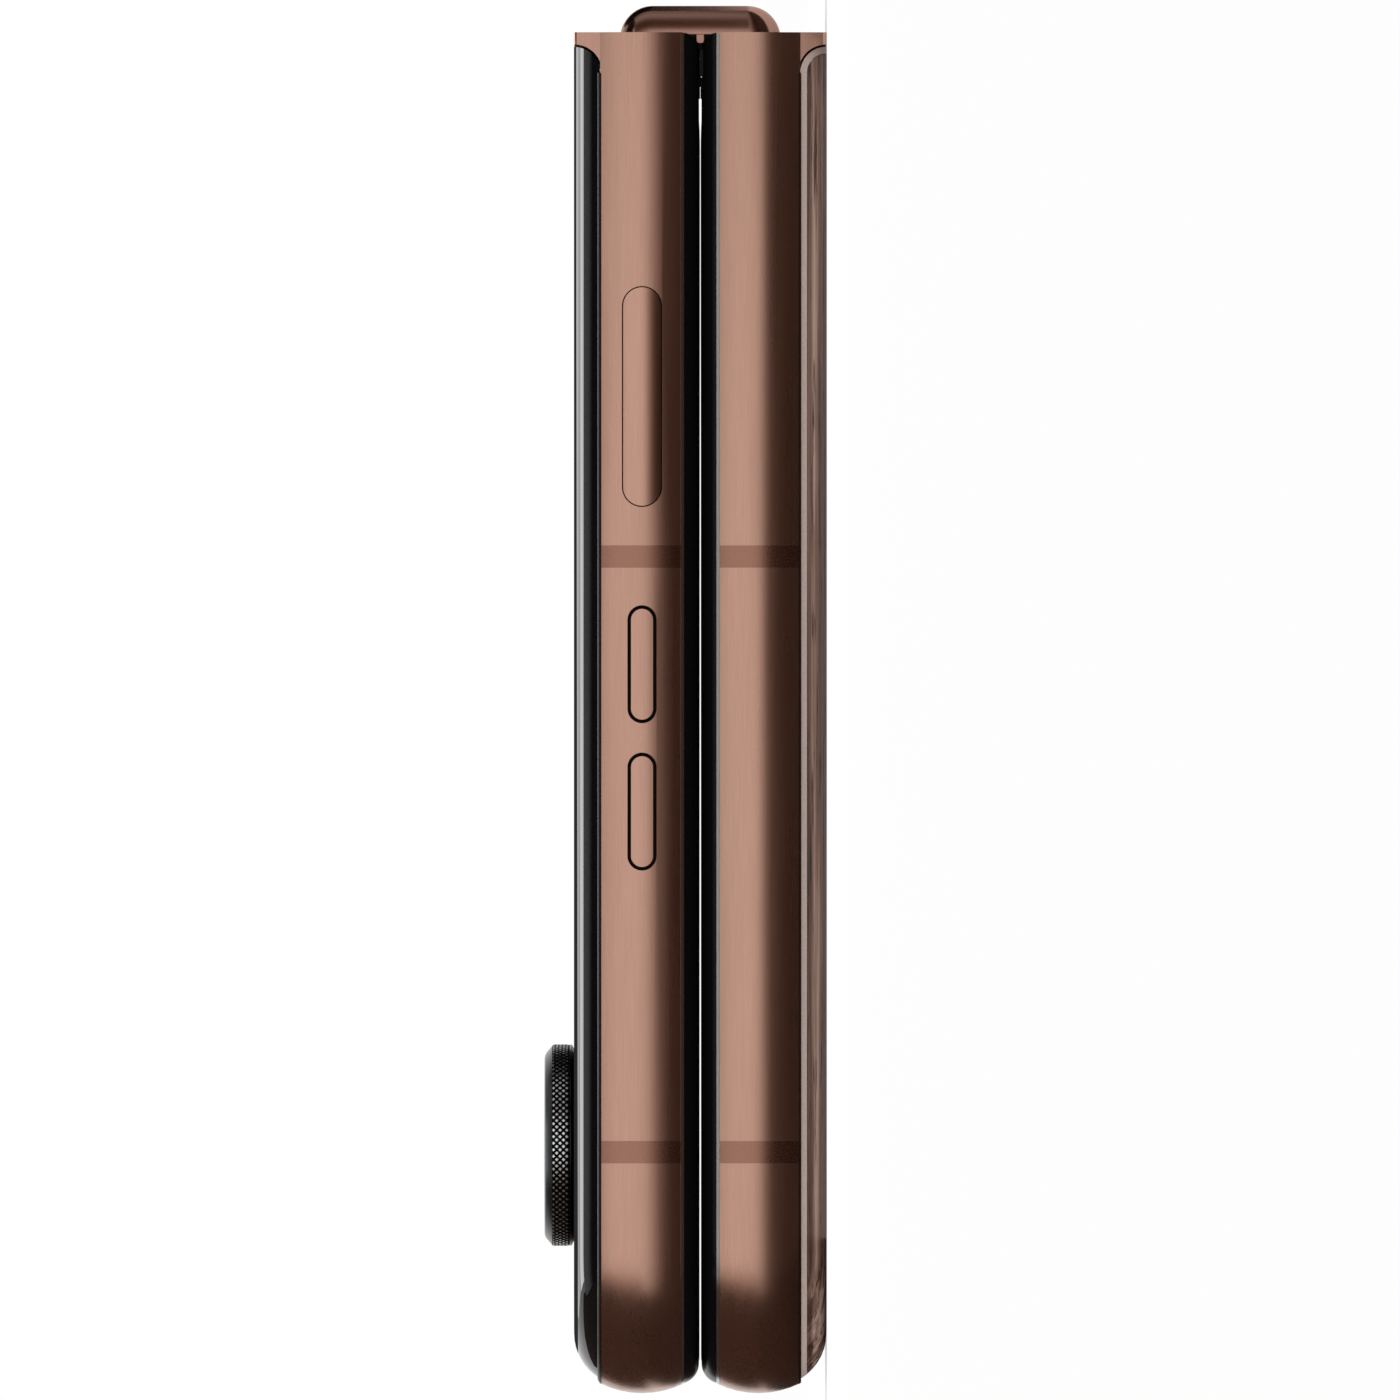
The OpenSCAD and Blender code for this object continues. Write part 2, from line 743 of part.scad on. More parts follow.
// A flat cage that guides the tray
module sim_reader() {
    x1 = body_w / 2 - tray_face_t - tray_l - 1;
    color("#c0c3c6") mirror([1, 0, 0]) difference() {
        slab(x1, side_in - seat_gap, tray_y - tray_body_l / 2 - 0.6, tray_y + tray_body_l / 2 + 0.6,
             tray_z - tray_t / 2 - tray_tunnel, part_top - board_t);
        slab(x1 + 0.5, side_in + past, tray_y - tray_body_l / 2 - tray_width_gap,
             tray_y + tray_body_l / 2 + tray_width_gap,
             tray_z - tray_t / 2 - tray_width_gap, tray_z + tray_t / 2 + tray_width_gap);
    }
}

module base_magnets() { color("#8d9094") half_magnets(); }
module base_hinge_arms() { color("#6f7276") half_arms(); }
module base_arm_screws() { color("#c9cbce") half_arm_screws(); }
module base_hinge_pins() { color("#c9cbce") half_pins(); }
module base_sync_gears() { color("#b99a4a") base_gears(); }

// ---------- spine ----------

spine_low = hinge_y - 0.5;
spine_end_low = hinge_y - 0.1;
spine_end_r = 1.2;
// A tongue at each end of the spine closes the notch between the turning halves
tongue_low = hinge_y - 0.7;
tongue_w = 2 * (pivot_off - knuckle_r) + 0.06;
spine_roof = hinge_y + spine_rise - spine_wall;

module spine_outline(inset, y_low) {
    top = hinge_y + spine_rise - inset;
    half_w = spine_w / 2 - inset;
    r = spine_r - inset;
    intersection() {
        union() {
            translate([y_low, fold_z - half_w + r]) square([top - y_low, 2 * (half_w - r)]);
            for (s = [-1, 1]) translate([top - r, fold_z + s * (half_w - r)])
                circle(r, $fn = fine);
            translate([y_low - r, fold_z - half_w]) square([top - y_low, 2 * half_w]);
        }
        translate([y_low, fold_z - half_w]) square([top - y_low, 2 * half_w]);
    }
}

// Plan outline of the spine with rounded ends
module spine_plan(x_end, y_low, y_high, r) {
    translate([-x_end, y_low]) square([2 * x_end, y_high - r - y_low]);
    translate([-x_end + r, y_low]) square([2 * (x_end - r), y_high - y_low]);
    for (s = [-1, 1]) translate([s * (x_end - r), y_high - r]) circle(r, $fn = round);
}

module spine_cover() {
    end_in = spine_end - spine_wall;
    color("#4a2a1e") {
        difference() {
            intersection() {
                along_x(-spine_end, spine_end) spine_outline(0, spine_low);
                linear_extrude(2 * fold_z)
                    spine_plan(spine_end, spine_low - past, hinge_y + spine_rise, spine_end_r);
            }
            along_x(-end_in, end_in) spine_outline(spine_wall, spine_low - past);
            both_sides() slab(end_in - past, body_w, spine_low - past, spine_end_low, 0, 2 * fold_z);
        }
        both_sides() slab(end_in, spine_end, tongue_low, spine_end_low + spine_wall / 2,
                          fold_z - tongue_w / 2, fold_z + tongue_w / 2);
    }
}

module pivot_holes(r) {
    for (z = [pivot_z, 2 * fold_z - pivot_z]) translate([pivot_y, z]) circle(r, $fn = small);
}

module idler_holes(r) {
    for (s = [-1, 1]) translate([idler_y, fold_z + s * idler_pitch_r]) circle(r, $fn = small);
}

bracket_w = 3.9;
bridge_t = 0.2;
beam_w = 6.4;
beam_slot_l = 24;
beam_slot_w = 4.4;
beam_slot_depth = 0.55;

module hinge_brackets() {
    top = spine_roof - seat_gap;
    color("#7d8084") both_sides() {
        for (x = [plate_x1, plate_x2 - plate_t]) along_x(x, x + plate_t) difference() {
            union() {
                pivot_holes(knuckle_r);
                translate([pivot_y, fold_z - bracket_w / 2]) square([top - pivot_y, bracket_w]);
            }
            pivot_holes(pin_r + fit_gap);
            idler_holes(axle_r + fit_gap);
        }
        slab(plate_x1, plate_x2, top - bridge_t, top, fold_z - bracket_w / 2,
             fold_z + bracket_w / 2);
    }
}

module hinge_beam() {
    x_end = plate_x1 - plate_gap;
    top = spine_roof - seat_gap;
    color("#5c5f63") difference() {
        slab(-x_end, x_end, hinge_y - 0.05, top, fold_z - beam_w / 2, fold_z + beam_w / 2);
        slab(-beam_slot_l / 2, beam_slot_l / 2, hinge_y - past, hinge_y - 0.05 + beam_slot_depth,
             fold_z - beam_slot_w / 2, fold_z + beam_slot_w / 2);
    }
}

module idler_axles() {
    color("#c9cbce") both_sides() along_x(plate_x1, plate_x2) idler_holes(axle_r);
}

// The free middle strip of the folding display, edge on between the two halves
module display_crease() {
    x_end = plate_x1 - spine_gap;
    color("#050506") slab(-x_end, x_end, pivot_y - nose_r, pivot_y + 0.1,
                          fold_z - 0.04, fold_z + 0.04);
}

module idler_gears_base_side() {
    color("#b99a4a") gear_pair(idler_teeth, axle_r + fit_gap, idler_y,
                               fold_z - idler_pitch_r, idler_phase);
}

module idler_gears_lid_side() {
    color("#b99a4a") gear_pair(idler_teeth, axle_r + fit_gap, idler_y,
                               fold_z + idler_pitch_r, idler_phase_2);
}

// ---------- lid ----------

camera_y = free_y + camera_at;
camera_x1 = body_w / 2 - camera_in;
camera_x2 = camera_x1 - camera_pitch;
neck_r = window_r + 0.8;
flash_x = (camera_x1 + camera_x2) / 2;
flash_y = camera_y - flash_back;
selfie_y = free_y + selfie_at;
flange_t = 0.6;
flange_grow = 0.45;
key_shoulder = body_w / 2 - 1.1;

// The hole for one key: a slot of the key's own shape and a wider pocket behind it
module key_hole(l, w, gap, at) {
    y = hinge_y - at;
    pill_x(l + 2 * gap, w + 2 * gap, side_in - past, body_w / 2 + past, y, band_mid);
    pill_x(l + 2 * (flange_grow + seat_gap), w + 2 * (flange_grow + seat_gap),
           side_in - past, key_shoulder, y, band_mid);
}

// One key: a crowned cap, a flange behind the wall and a stem to its switch
module side_key(l, w, proud, at, crown_r) {
    y = hinge_y - at;
    flange_x = key_shoulder - seat_gap;
    intersection() {
        pill_x(l, w, flange_x - flange_t / 2, body_w / 2 + proud, y, band_mid);
        translate([body_w / 2 + proud - crown_r, y - l, band_mid - crown_r])
            union() {
                translate([0, 0, crown_r]) rotate([-90, 0, 0])
                    cylinder(h = 2 * l, r = crown_r, $fn = fine);
                translate([-crown_r, 0, 0]) cube([crown_r, 2 * l, 2 * crown_r]);
            }
    }
    pill_x(l + 2 * flange_grow, w + 2 * flange_grow, flange_x - flange_t, flange_x, y, band_mid);
    translate([switch_top + key_travel + 0.05, y, band_mid]) rotate([0, 90, 0])
        cylinder(h = flange_x - switch_top - key_travel - 0.05 - flange_t / 2, r = 0.5, $fn = small);
}

module lid_frame() {
    color("#a9806d") on_lid() difference() {
        half_frame();
        key_hole(power_l, power_w, power_gap, power_at);
        key_hole(volume_l, volume_w, volume_gap, volume_1);
        key_hole(volume_l, volume_w, volume_gap, volume_2);
        translate([0, selfie_y, web_bottom - past])
            cylinder(h = web_t + 2 * past, r = selfie_r + 2 * seat_gap, $fn = round);
        translate([speaker_x + earpiece_w / 2, free_y - past, band_mid])
            rotate([-90, 0, 0]) cylinder(h = wall + 2 * past, r = 0.4, $fn = small);
    }
}

module camera_places(r, z1, z2) {
    for (x = [camera_x1, camera_x2]) translate([-x, camera_y, z1])
        cylinder(h = z2 - z1, r = r, $fn = fine);
}

module flash_hole(r, z1, z2) {
    translate([-flash_x, flash_y, z1]) cylinder(h = z2 - z1, r = r, $fn = round);
}

module cover_glass() {
    color("#15181a") on_lid() difference() {
        intersection() {
            outer_cover();
            cover_cut(cover_edge);
        }
        camera_places(neck_r + seat_gap, -past, cover_edge + past);
        flash_hole(flash_r + seat_gap, -past, cover_edge + past);
    }
}

module cover_display() {
    y2 = pivot_y - pocket_r - pocket_wall - 0.3;
    color("#08090b") on_lid() difference() {
        translate([0, 0, room_bottom]) linear_extrude(cover_display_t)
            plan(flat_in + seat_gap, y2);
        camera_places(neck_r + 0.5, 0, half_t);
        flash_hole(flash_r + 0.5, 0, half_t);
    }
}

module lid_bezel() { color("#0d0d0e") on_lid() half_bezel(1); }

module display_upper() {
    color("#050506") on_lid() difference() {
        half_display();
        translate([0, selfie_y, display_bottom - past])
            cylinder(h = display_t + 2 * past, r = selfie_r + seat_gap, $fn = round);
    }
}

module lid_antenna_breaks() { color("#7a4f3f") on_lid() half_breaks(); }

// A ring with a chamfered crown on the glass, and a neck through it
module camera_ring(x) {
    front = 0.45;
    back = 0.25;
    color("#0b0b0c") on_lid() translate([-x, camera_y, 0]) mirror([0, 0, 1])
        rotate_extrude($fn = fine) polygon([
            [window_r, -cover_t], [neck_r, -cover_t], [neck_r, seat_gap], [ring_r - back, seat_gap],
            [ring_r, seat_gap + back], [ring_r, ring_h - 1.4 * front],
            [ring_r - front, ring_h], [window_r + 0.5, ring_h], [window_r, ring_h - 0.5]]);
}

module camera_lens(x) {
    color("#101418") on_lid() translate([-x, camera_y, -ring_h + 0.55])
        cylinder(h = 0.7, r = window_r - seat_gap, $fn = fine);
}

module camera_module(x) {
    top = -ring_h + 0.55 + 0.7 + seat_gap;
    color("#1a1a1c") on_lid() {
        translate([-x, camera_y, top])
            cylinder(h = cover_t + 0.8 - top, r = window_r - 0.2, $fn = round);
        slab(-x - module_w / 2, -x + module_w / 2, camera_y - module_w / 2,
             camera_y + module_w / 2, cover_t + 0.8, part_top);
    }
}

module camera_ring_main() { camera_ring(camera_x1); }
module camera_ring_wide() { camera_ring(camera_x2); }
module camera_lens_main() { camera_lens(camera_x1); }
module camera_lens_wide() { camera_lens(camera_x2); }
module camera_module_main() { camera_module(camera_x1); }
module camera_module_wide() { camera_module(camera_x2); }

module flash_lens() {
    color("#e8e2c8") on_lid() flash_hole(flash_r, 0.05, cover_t + 0.5);
}

module battery_upper() {
    color("#2b2b2e") on_lid() slab(-battery_w / 2, battery_w / 2, battery_y - battery_lid_l, battery_y,
                                   room_bottom + cover_display_t + 0.1, part_top);
}

lid_board_x = 2;

module lid_board() {
    color("#1d4a36") on_lid() slab(lid_board_x, side_in - magnet_w - 1.5, camera_y - module_w / 2,
                                   camera_y + module_w / 2 + 2, part_top - board_t, part_top);
}

module lid_shield() {
    z2 = part_top - board_t;
    color("#b9bcc0") on_lid()
        slab(lid_board_x + 2, side_in - magnet_w - 3, camera_y - module_w / 2 + 1, camera_y + module_w / 2 + 1,
             z2 - can_h, z2);
}

module earpiece() {
    y1 = free_y + wall + seat_gap;
    color("#3a3a3d") on_lid() slab(speaker_x, speaker_x + earpiece_w, y1, y1 + earpiece_l,
                                   part_top - earpiece_h, part_top);
}

module selfie_camera() {
    color("#101214") on_lid() {
        translate([0, selfie_y, web_bottom - 1.5])
            cylinder(h = display_top - 0.05 - web_bottom + 1.5, r = selfie_r, $fn = round);
        slab(-3, 3, selfie_y - 2.6, selfie_y + 3, web_bottom - 2.6, part_top);
    }
}

key_board_t = 0.4;
switch_h = 0.75;
key_board_x = side_in - 2;
switch_top = key_board_x + key_board_t + switch_h;

module key_board() {
    color("#3c3420") on_lid() slab(key_board_x, key_board_x + key_board_t,
                                   hinge_y - volume_2 - 4, hinge_y - power_at + 5, 2.6, part_top);
}

module key_switches() {
    x = key_board_x + key_board_t;
    color("#c9cbce") on_lid() for (at = [power_at, volume_1, volume_2]) {
        slab(x, x + switch_h / 2, hinge_y - at - 1.5, hinge_y - at + 1.5,
             band_mid - 1.2, band_mid + 1.2);
        translate([x + switch_h / 2, hinge_y - at, band_mid]) rotate([0, 90, 0])
            cylinder(h = switch_h / 2, r = 0.9, $fn = small);
    }
}

module lid_magnets() { color("#8d9094") on_lid() half_magnets(); }
module lid_hinge_arms() { color("#6f7276") on_lid() half_arms(); }
module lid_arm_screws() { color("#c9cbce") on_lid() half_arm_screws(); }
module lid_hinge_pins() { color("#c9cbce") on_lid() half_pins(); }
module lid_sync_gears() { color("#b99a4a") lid_gears(); }

module power_key() {
    color("#a9806d") on_lid() side_key(power_l, power_w, power_proud, power_at, power_crown);
}
module volume_up_key() {
    color("#a9806d") on_lid() side_key(volume_l, volume_w, volume_proud, volume_2, volume_crown);
}
module volume_down_key() {
    color("#a9806d") on_lid() side_key(volume_l, volume_w, volume_proud, volume_1, volume_crown);
}

base_frame();
rear_panel();
panel_trim();
base_bezel();
display_lower();
base_antenna_breaks();
battery_lower();
main_board();
board_shields();
charging_coil();
usb_port();
loudspeaker();
vibration_motor();
sim_reader();
base_magnets();
base_hinge_arms();
base_arm_screws();
base_hinge_pins();
base_sync_gears();
sim_tray();
spine_cover();
hinge_brackets();
hinge_beam();
idler_axles();
display_crease();
idler_gears_base_side();
idler_gears_lid_side();
lid_frame();
cover_glass();
cover_display();
lid_bezel();
display_upper();
lid_antenna_breaks();
camera_ring_main();
camera_ring_wide();
camera_lens_main();
camera_lens_wide();
camera_module_main();
camera_module_wide();
flash_lens();
battery_upper();
lid_board();
lid_shield();
earpiece();
selfie_camera();
key_board();
key_switches();
lid_magnets();
lid_hinge_arms();
lid_arm_screws();
lid_hinge_pins();
lid_sync_gears();
power_key();
volume_up_key();
volume_down_key();
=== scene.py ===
"""A folding clamshell phone, shut, seen from its key side: materials, fine pieces, light and camera."""
import json
import math
import bmesh
import bpy
from mathutils import Matrix, Vector

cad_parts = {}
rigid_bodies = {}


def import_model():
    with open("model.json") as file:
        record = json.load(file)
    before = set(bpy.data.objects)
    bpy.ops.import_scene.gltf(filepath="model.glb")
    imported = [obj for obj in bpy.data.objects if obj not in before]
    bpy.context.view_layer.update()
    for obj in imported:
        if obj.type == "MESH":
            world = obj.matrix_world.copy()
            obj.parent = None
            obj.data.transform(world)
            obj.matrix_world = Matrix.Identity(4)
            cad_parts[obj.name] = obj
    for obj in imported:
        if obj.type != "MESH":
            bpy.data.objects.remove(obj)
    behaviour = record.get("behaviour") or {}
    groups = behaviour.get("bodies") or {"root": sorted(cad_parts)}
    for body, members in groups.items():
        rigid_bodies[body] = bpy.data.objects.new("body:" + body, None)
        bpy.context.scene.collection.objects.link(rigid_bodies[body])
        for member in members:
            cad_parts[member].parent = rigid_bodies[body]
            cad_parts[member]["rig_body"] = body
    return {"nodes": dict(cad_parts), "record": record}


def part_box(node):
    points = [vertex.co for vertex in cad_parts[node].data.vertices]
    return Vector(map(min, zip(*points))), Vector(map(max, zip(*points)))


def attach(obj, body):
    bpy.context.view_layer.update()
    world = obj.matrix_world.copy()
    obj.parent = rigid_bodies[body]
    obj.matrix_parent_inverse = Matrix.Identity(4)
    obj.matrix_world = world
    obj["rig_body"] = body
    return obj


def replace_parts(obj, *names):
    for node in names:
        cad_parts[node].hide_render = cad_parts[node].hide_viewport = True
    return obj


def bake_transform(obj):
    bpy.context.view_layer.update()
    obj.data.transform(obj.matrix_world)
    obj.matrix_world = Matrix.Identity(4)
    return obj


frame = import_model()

scene = bpy.context.scene
scene.view_settings.view_transform = "Standard"
MM = 0.001
NODES = frame["nodes"]
RECORD = frame["record"]
SLOTS = {part["node"]: part["material_slot"] for part in RECORD["subparts"]}
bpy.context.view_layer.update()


# ---------- sizes, in metres, read from the frame ----------

def low(node):
    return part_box(node)[0]


def high(node):
    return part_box(node)[1]


HALF_W = high("base_frame").x
FREE_Y = low("base_frame").y
HINGE_Y = high("base_frame").y
TOP_Z = high("cover_glass").z
FOLD_Z = TOP_Z / 2
SPINE_TOP = high("spine_cover").y
LENGTH = SPINE_TOP - FREE_Y
CORNER_R = 9 * MM              # plan radius of the corners at the free end
CORNER_Y = FREE_Y + CORNER_R
COVER_EDGE = 1.66 * MM         # the seam between an outer cover and the band
COVER_END_Y = 39.59 * MM       # where the covers start to curve towards the hinge edge
BAND_MID = 4.305 * MM
BAND_R = 5.95 * MM             # radius of the band's convex face
PIVOT_Y = HINGE_Y - 1.05 * MM
PIVOT_OFF = 1.1 * MM           # each fold pivot's distance from the fold plane


# ---------- material helpers ----------

def material(name):
    """A new material, its node tree and a Principled shader on the output."""
    m = bpy.data.materials.new(name)
    m.use_nodes = True
    tree = m.node_tree
    tree.nodes.clear()
    out = tree.nodes.new("ShaderNodeOutputMaterial")
    shader = tree.nodes.new("ShaderNodeBsdfPrincipled")
    tree.links.new(shader.outputs[0], out.inputs["Surface"])
    return m, tree, shader


def add(tree, kind, **settings):
    """A shader node; a setting that names an input fills that input."""
    n = tree.nodes.new(kind)
    for key, value in settings.items():
        if key in n.inputs:
            n.inputs[key].default_value = value
        else:
            setattr(n, key, value)
    return n


def place(tree, scale=(1, 1, 1)):
    """Object coordinates, scaled on each axis."""
    mapping = add(tree, "ShaderNodeMapping", Scale=scale)
    tree.links.new(add(tree, "ShaderNodeTexCoord").outputs["Object"], mapping.inputs["Vector"])
    return mapping.outputs["Vector"]


def noise(tree, vector, scale, detail=4.0, rough=0.5):
    n = add(tree, "ShaderNodeTexNoise", Scale=scale, Detail=detail, Roughness=rough)
    tree.links.new(vector, n.inputs["Vector"])
    return n.outputs["Fac"]


def ramp(tree, factor, *stops):
    """A colour ramp with (position, colour) stops."""
    n = add(tree, "ShaderNodeValToRGB")
    line = n.color_ramp
    while len(line.elements) < len(stops):
        line.elements.new(0.5)
    for element, (position, colour) in zip(line.elements, stops):
        element.position = position
        element.color = (*colour, 1)
    tree.links.new(factor, n.inputs["Fac"])
    return n.outputs["Color"]


def spread(tree, factor, to_low, to_high, from_low=0.3, from_high=0.7):
    """Maps a factor to a range of values."""
    n = add(tree, "ShaderNodeMapRange")
    for key, value in (("From Min", from_low), ("From Max", from_high),
                       ("To Min", to_low), ("To Max", to_high)):
        n.inputs[key].default_value = value
    tree.links.new(factor, n.inputs["Value"])
    return n.outputs["Result"]


def multiply(tree, a, b):
    mix = add(tree, "ShaderNodeMix", data_type="RGBA", blend_type="MULTIPLY")
    mix.inputs["Factor"].default_value = 1.0
    tree.links.new(a, mix.inputs[6])
    tree.links.new(b, mix.inputs[7])
    return mix.outputs[2]


def bump(tree, shader, height, depth):
    """Bump by a height of that depth in metres."""
    n = add(tree, "ShaderNodeBump", Strength=1.0, Distance=depth)
    tree.links.new(height, n.inputs["Height"])
    tree.links.new(n.outputs["Normal"], shader.inputs["Normal"])


def tones(colour, change):
    return [c * (1 - change) for c in colour], [min(c * (1 + change), 1) for c in colour]


def brushed_metal(name, colour, along=1, roughness=0.3, streaks=0.1, depth=0.4e-6):
    """Anodised metal with fine brush lines along one axis: 0 is X, 1 is Y, 2 is Z."""
    m, tree, shader = material(name)
    shader.inputs["Metallic"].default_value = 1.0
    lines = noise(tree, place(tree, [0.02 if i == along else 1 for i in range(3)]), 14000.0, 3.0, 0.6)
    broad = noise(tree, place(tree, [0.05 if i == along else 1 for i in range(3)]), 900.0, 2.0)
    dark, pale = tones(colour, streaks)
    tree.links.new(ramp(tree, lines, (0.3, dark), (0.7, pale)), shader.inputs["Base Color"])
    tree.links.new(spread(tree, broad, roughness * 0.92, roughness * 1.1), shader.inputs["Roughness"])
    bump(tree, shader, lines, depth)
    return m


def satin(name, colour, roughness=0.45, grain=0.0, metallic=0.0, level=0.5, change=0.1):
    """A plain hard surface with a fine moulded or blasted grain."""
    m, tree, shader = material(name)
    shader.inputs["Metallic"].default_value = metallic
    shader.inputs["Specular IOR Level"].default_value = level
    fine = noise(tree, place(tree), 9000.0, 3.0)
    dark, pale = tones(colour, change)
    tree.links.new(ramp(tree, fine, (0.3, dark), (0.7, pale)), shader.inputs["Base Color"])
    tree.links.new(spread(tree, fine, roughness * 0.9, roughness * 1.1), shader.inputs["Roughness"])
    if grain:
        bump(tree, shader, fine, grain)
    return m


def dark_glass(name, colour, roughness=0.04, level=0.5):
    """Dark backed glass with faint smudges that only soften its gloss."""
    m, tree, shader = material(name)
    shader.inputs["Specular IOR Level"].default_value = level
    smudge = noise(tree, place(tree), 60.0, 5.0, 0.6)
    tree.links.new(ramp(tree, smudge, (0.3, colour), (0.7, [c * 1.3 for c in colour])),
                   shader.inputs["Base Color"])
    tree.links.new(spread(tree, smudge, roughness * 0.6, roughness * 1.6), shader.inputs["Roughness"])
    return m


def wood(name):
    """Dark open-grained veneer with long pores and streaks along Y, with a painted highlight low on the
    edge where it turns up from the rear face, and painted shade on the rear face and towards the seam.
    """
    m, tree, shader = material(name)
    bands = noise(tree, place(tree, (1.0, 0.02, 1.0)), 1500.0, 4.0, 0.6)
    pores = noise(tree, place(tree, (1.0, 0.045, 1.0)), 3600.0, 4.0, 0.6)
    tint = ramp(tree, bands, (0.32, (0.13, 0.058, 0.036)), (0.47, (0.30, 0.175, 0.125)),
                (0.60, (0.66, 0.48, 0.40)), (0.72, (0.34, 0.20, 0.15)))
    mask = ramp(tree, pores, (0.36, (0.22, 0.12, 0.08)), (0.43, (1, 1, 1)))
    parts = add(tree, "ShaderNodeSeparateXYZ")
    tree.links.new(place(tree), parts.inputs[0])
    # by height: painted lighter from about 0.25 to 0.8 mm up the edge, a painted highlight; painted darker
    # on the rear face and above about 1 mm towards the seam, painted shade
    height = spread(tree, parts.outputs["Z"], 0.0, 1.0, 0.0, COVER_EDGE)
    edge = ramp(tree, height, (0.0, (0.58, 0.54, 0.52)), (0.15, (1, 1, 1)), (0.48, (0.98, 0.96, 0.96)),
                (0.60, (0.38, 0.30, 0.26)))
    tree.links.new(multiply(tree, multiply(tree, tint, mask), edge), shader.inputs["Base Color"])
    tree.links.new(spread(tree, bands, 0.45, 0.62), shader.inputs["Roughness"])
    bump(tree, shader, spread(tree, pores, 0.0, 1.0, 0.33, 0.5), 18e-6)
    return m


def clear_glass(name):
    """Faintly tinted clear glass."""
    m, tree, shader = material(name)
    shader.inputs["Transmission Weight"].default_value = 1.0
    shader.inputs["IOR"].default_value = 1.45
    tint = ramp(tree, noise(tree, place(tree), 80.0), (0.3, (0.80, 0.84, 0.88)), (0.7, (0.86, 0.9, 0.94)))
    tree.links.new(tint, shader.inputs["Base Color"])
    tree.links.new(spread(tree, noise(tree, place(tree), 90.0), 0.005, 0.03), shader.inputs["Roughness"])
    return m


# ---------- materials ----------

COPPER = (0.535, 0.31, 0.234)
copper = brushed_metal("copper_frame", COPPER, roughness=0.28, streaks=0.05)
copper_key = brushed_metal("copper_key", COPPER, roughness=0.24, streaks=0.05)
# painted shade for the faces inside the holes and behind the keys' faces
painted_hole_shade = satin("copper_shadow", (0.022, 0.007, 0.003), 0.5, 2e-6, level=0.2)
antenna = satin("antenna_plastic", (0.345, 0.175, 0.127), 0.28, 0.3e-6, metallic=1.0, change=0.02)
black_bezel = satin("bezel_black", (0.0025, 0.0025, 0.003), 0.25, 1e-6, level=0.1)
gasket = satin("gasket_grey", (0.022, 0.021, 0.021), 0.4, 1e-6, level=0.2)
polished = brushed_metal("polished_edge", (0.50, 0.475, 0.45), roughness=0.2, streaks=0.03)
# dark brown for the seam strips: a dark joint, and painted shade where the strips lie over the band's edge
seam_and_shade_brown = satin("seam_and_shade_brown", (0.015, 0.005, 0.003), 0.4, 1e-6, level=0.2)
screen = dark_glass("folding_screen", (0.004, 0.004, 0.005), 0.09)
cover = dark_glass("cover_glass", (0.003, 0.003, 0.0035), 0.03)
panel = wood("wood_panel")
trim = satin("trim_taupe", (0.60, 0.475, 0.425), 0.35, 1e-6)
spine_paint = satin("spine_brown", (0.38, 0.21, 0.165), 0.17, metallic=1.0, change=0.04)
ring_black = satin("ring_black", (0.016, 0.017, 0.018), 0.25, metallic=0.9)
# pale metal on the knurl's tip flats: a painted highlight
knurl_tip_highlight = brushed_metal("knurl_tip_highlight", (0.80, 0.81, 0.81), along=2, roughness=0.36, streaks=0.05)
# a matt dark band without gloss where the cover glass starts to curve down: painted shade in place of its
# reflection
painted_border_shade = satin("painted_border_shade", (0.02, 0.02, 0.021), 0.3, level=0.0)
window_glass = clear_glass("window_glass")
lens_front = dark_glass("lens_front", (0.004, 0.005, 0.007), 0.02)
lens_coat = dark_glass("lens_coat", (0.012, 0.010, 0.035), 0.02, 0.9)
flash_cream = satin("flash_cream", (0.72, 0.64, 0.42), 0.25)
matte_black = satin("matte_black", (0.012, 0.012, 0.013), 0.6, 4e-6, level=0.3)
foil = satin("battery_foil", (0.05, 0.05, 0.055), 0.5, 4e-6)
board = satin("board_green", (0.02, 0.09, 0.055), 0.4, 4e-6)
steel = brushed_metal("hinge_steel", (0.50, 0.50, 0.51), along=0, roughness=0.28)
black_steel = brushed_metal("black_steel", (0.02, 0.02, 0.021), along=0, roughness=0.35)
brass = brushed_metal("gear_brass", (0.62, 0.44, 0.18), along=0, roughness=0.3)
wound_copper = brushed_metal("coil_copper", (0.6, 0.3, 0.16), along=0, roughness=0.35)

FINISHES = (
    (screen, "display_lower display_upper display_crease cover_display"),
    (foil, "battery_lower battery_upper"),
    (board, "main_board lid_board key_board"),
    (steel, "board_shields lid_shield usb_port vibration_motor sim_reader base_magnets lid_magnets "
            "base_hinge_pins lid_hinge_pins idler_axles key_switches base_arm_screws lid_arm_screws"),
    (black_steel, "base_hinge_arms lid_hinge_arms hinge_brackets hinge_beam"),
    (brass, "base_sync_gears lid_sync_gears idler_gears_base_side idler_gears_lid_side"),
    (wound_copper, "charging_coil"),
    (copper, "sim_tray"),
    (matte_black, "loudspeaker earpiece camera_module_main camera_module_wide selfie_camera"),
    (lens_front, "camera_lens_main camera_lens_wide"),
    (flash_cream, "flash_lens"),
)


def paint(obj, *materials):
    """Puts materials into an object's slots; its faces keep their material indices."""
    slots = obj.data.materials
    for i, m in enumerate(materials):
        if i < len(slots):
            slots[i] = m
        else:
            slots.append(m)


for finish, names in FINISHES:
    for name in names.split():
        paint(NODES[name], finish)


# ---------- piece helpers ----------

WELD = 2e-7                    # vertices of a CAD mesh closer than this are one
FLAT_ANGLE = 0.4               # in degrees; faces within it are joined into one
SHARP_ANGLE = 35.0             # in degrees; larger angles stay sharp, or get a bevel
CORNER_STEPS = 24              # steps round each corner of the free end


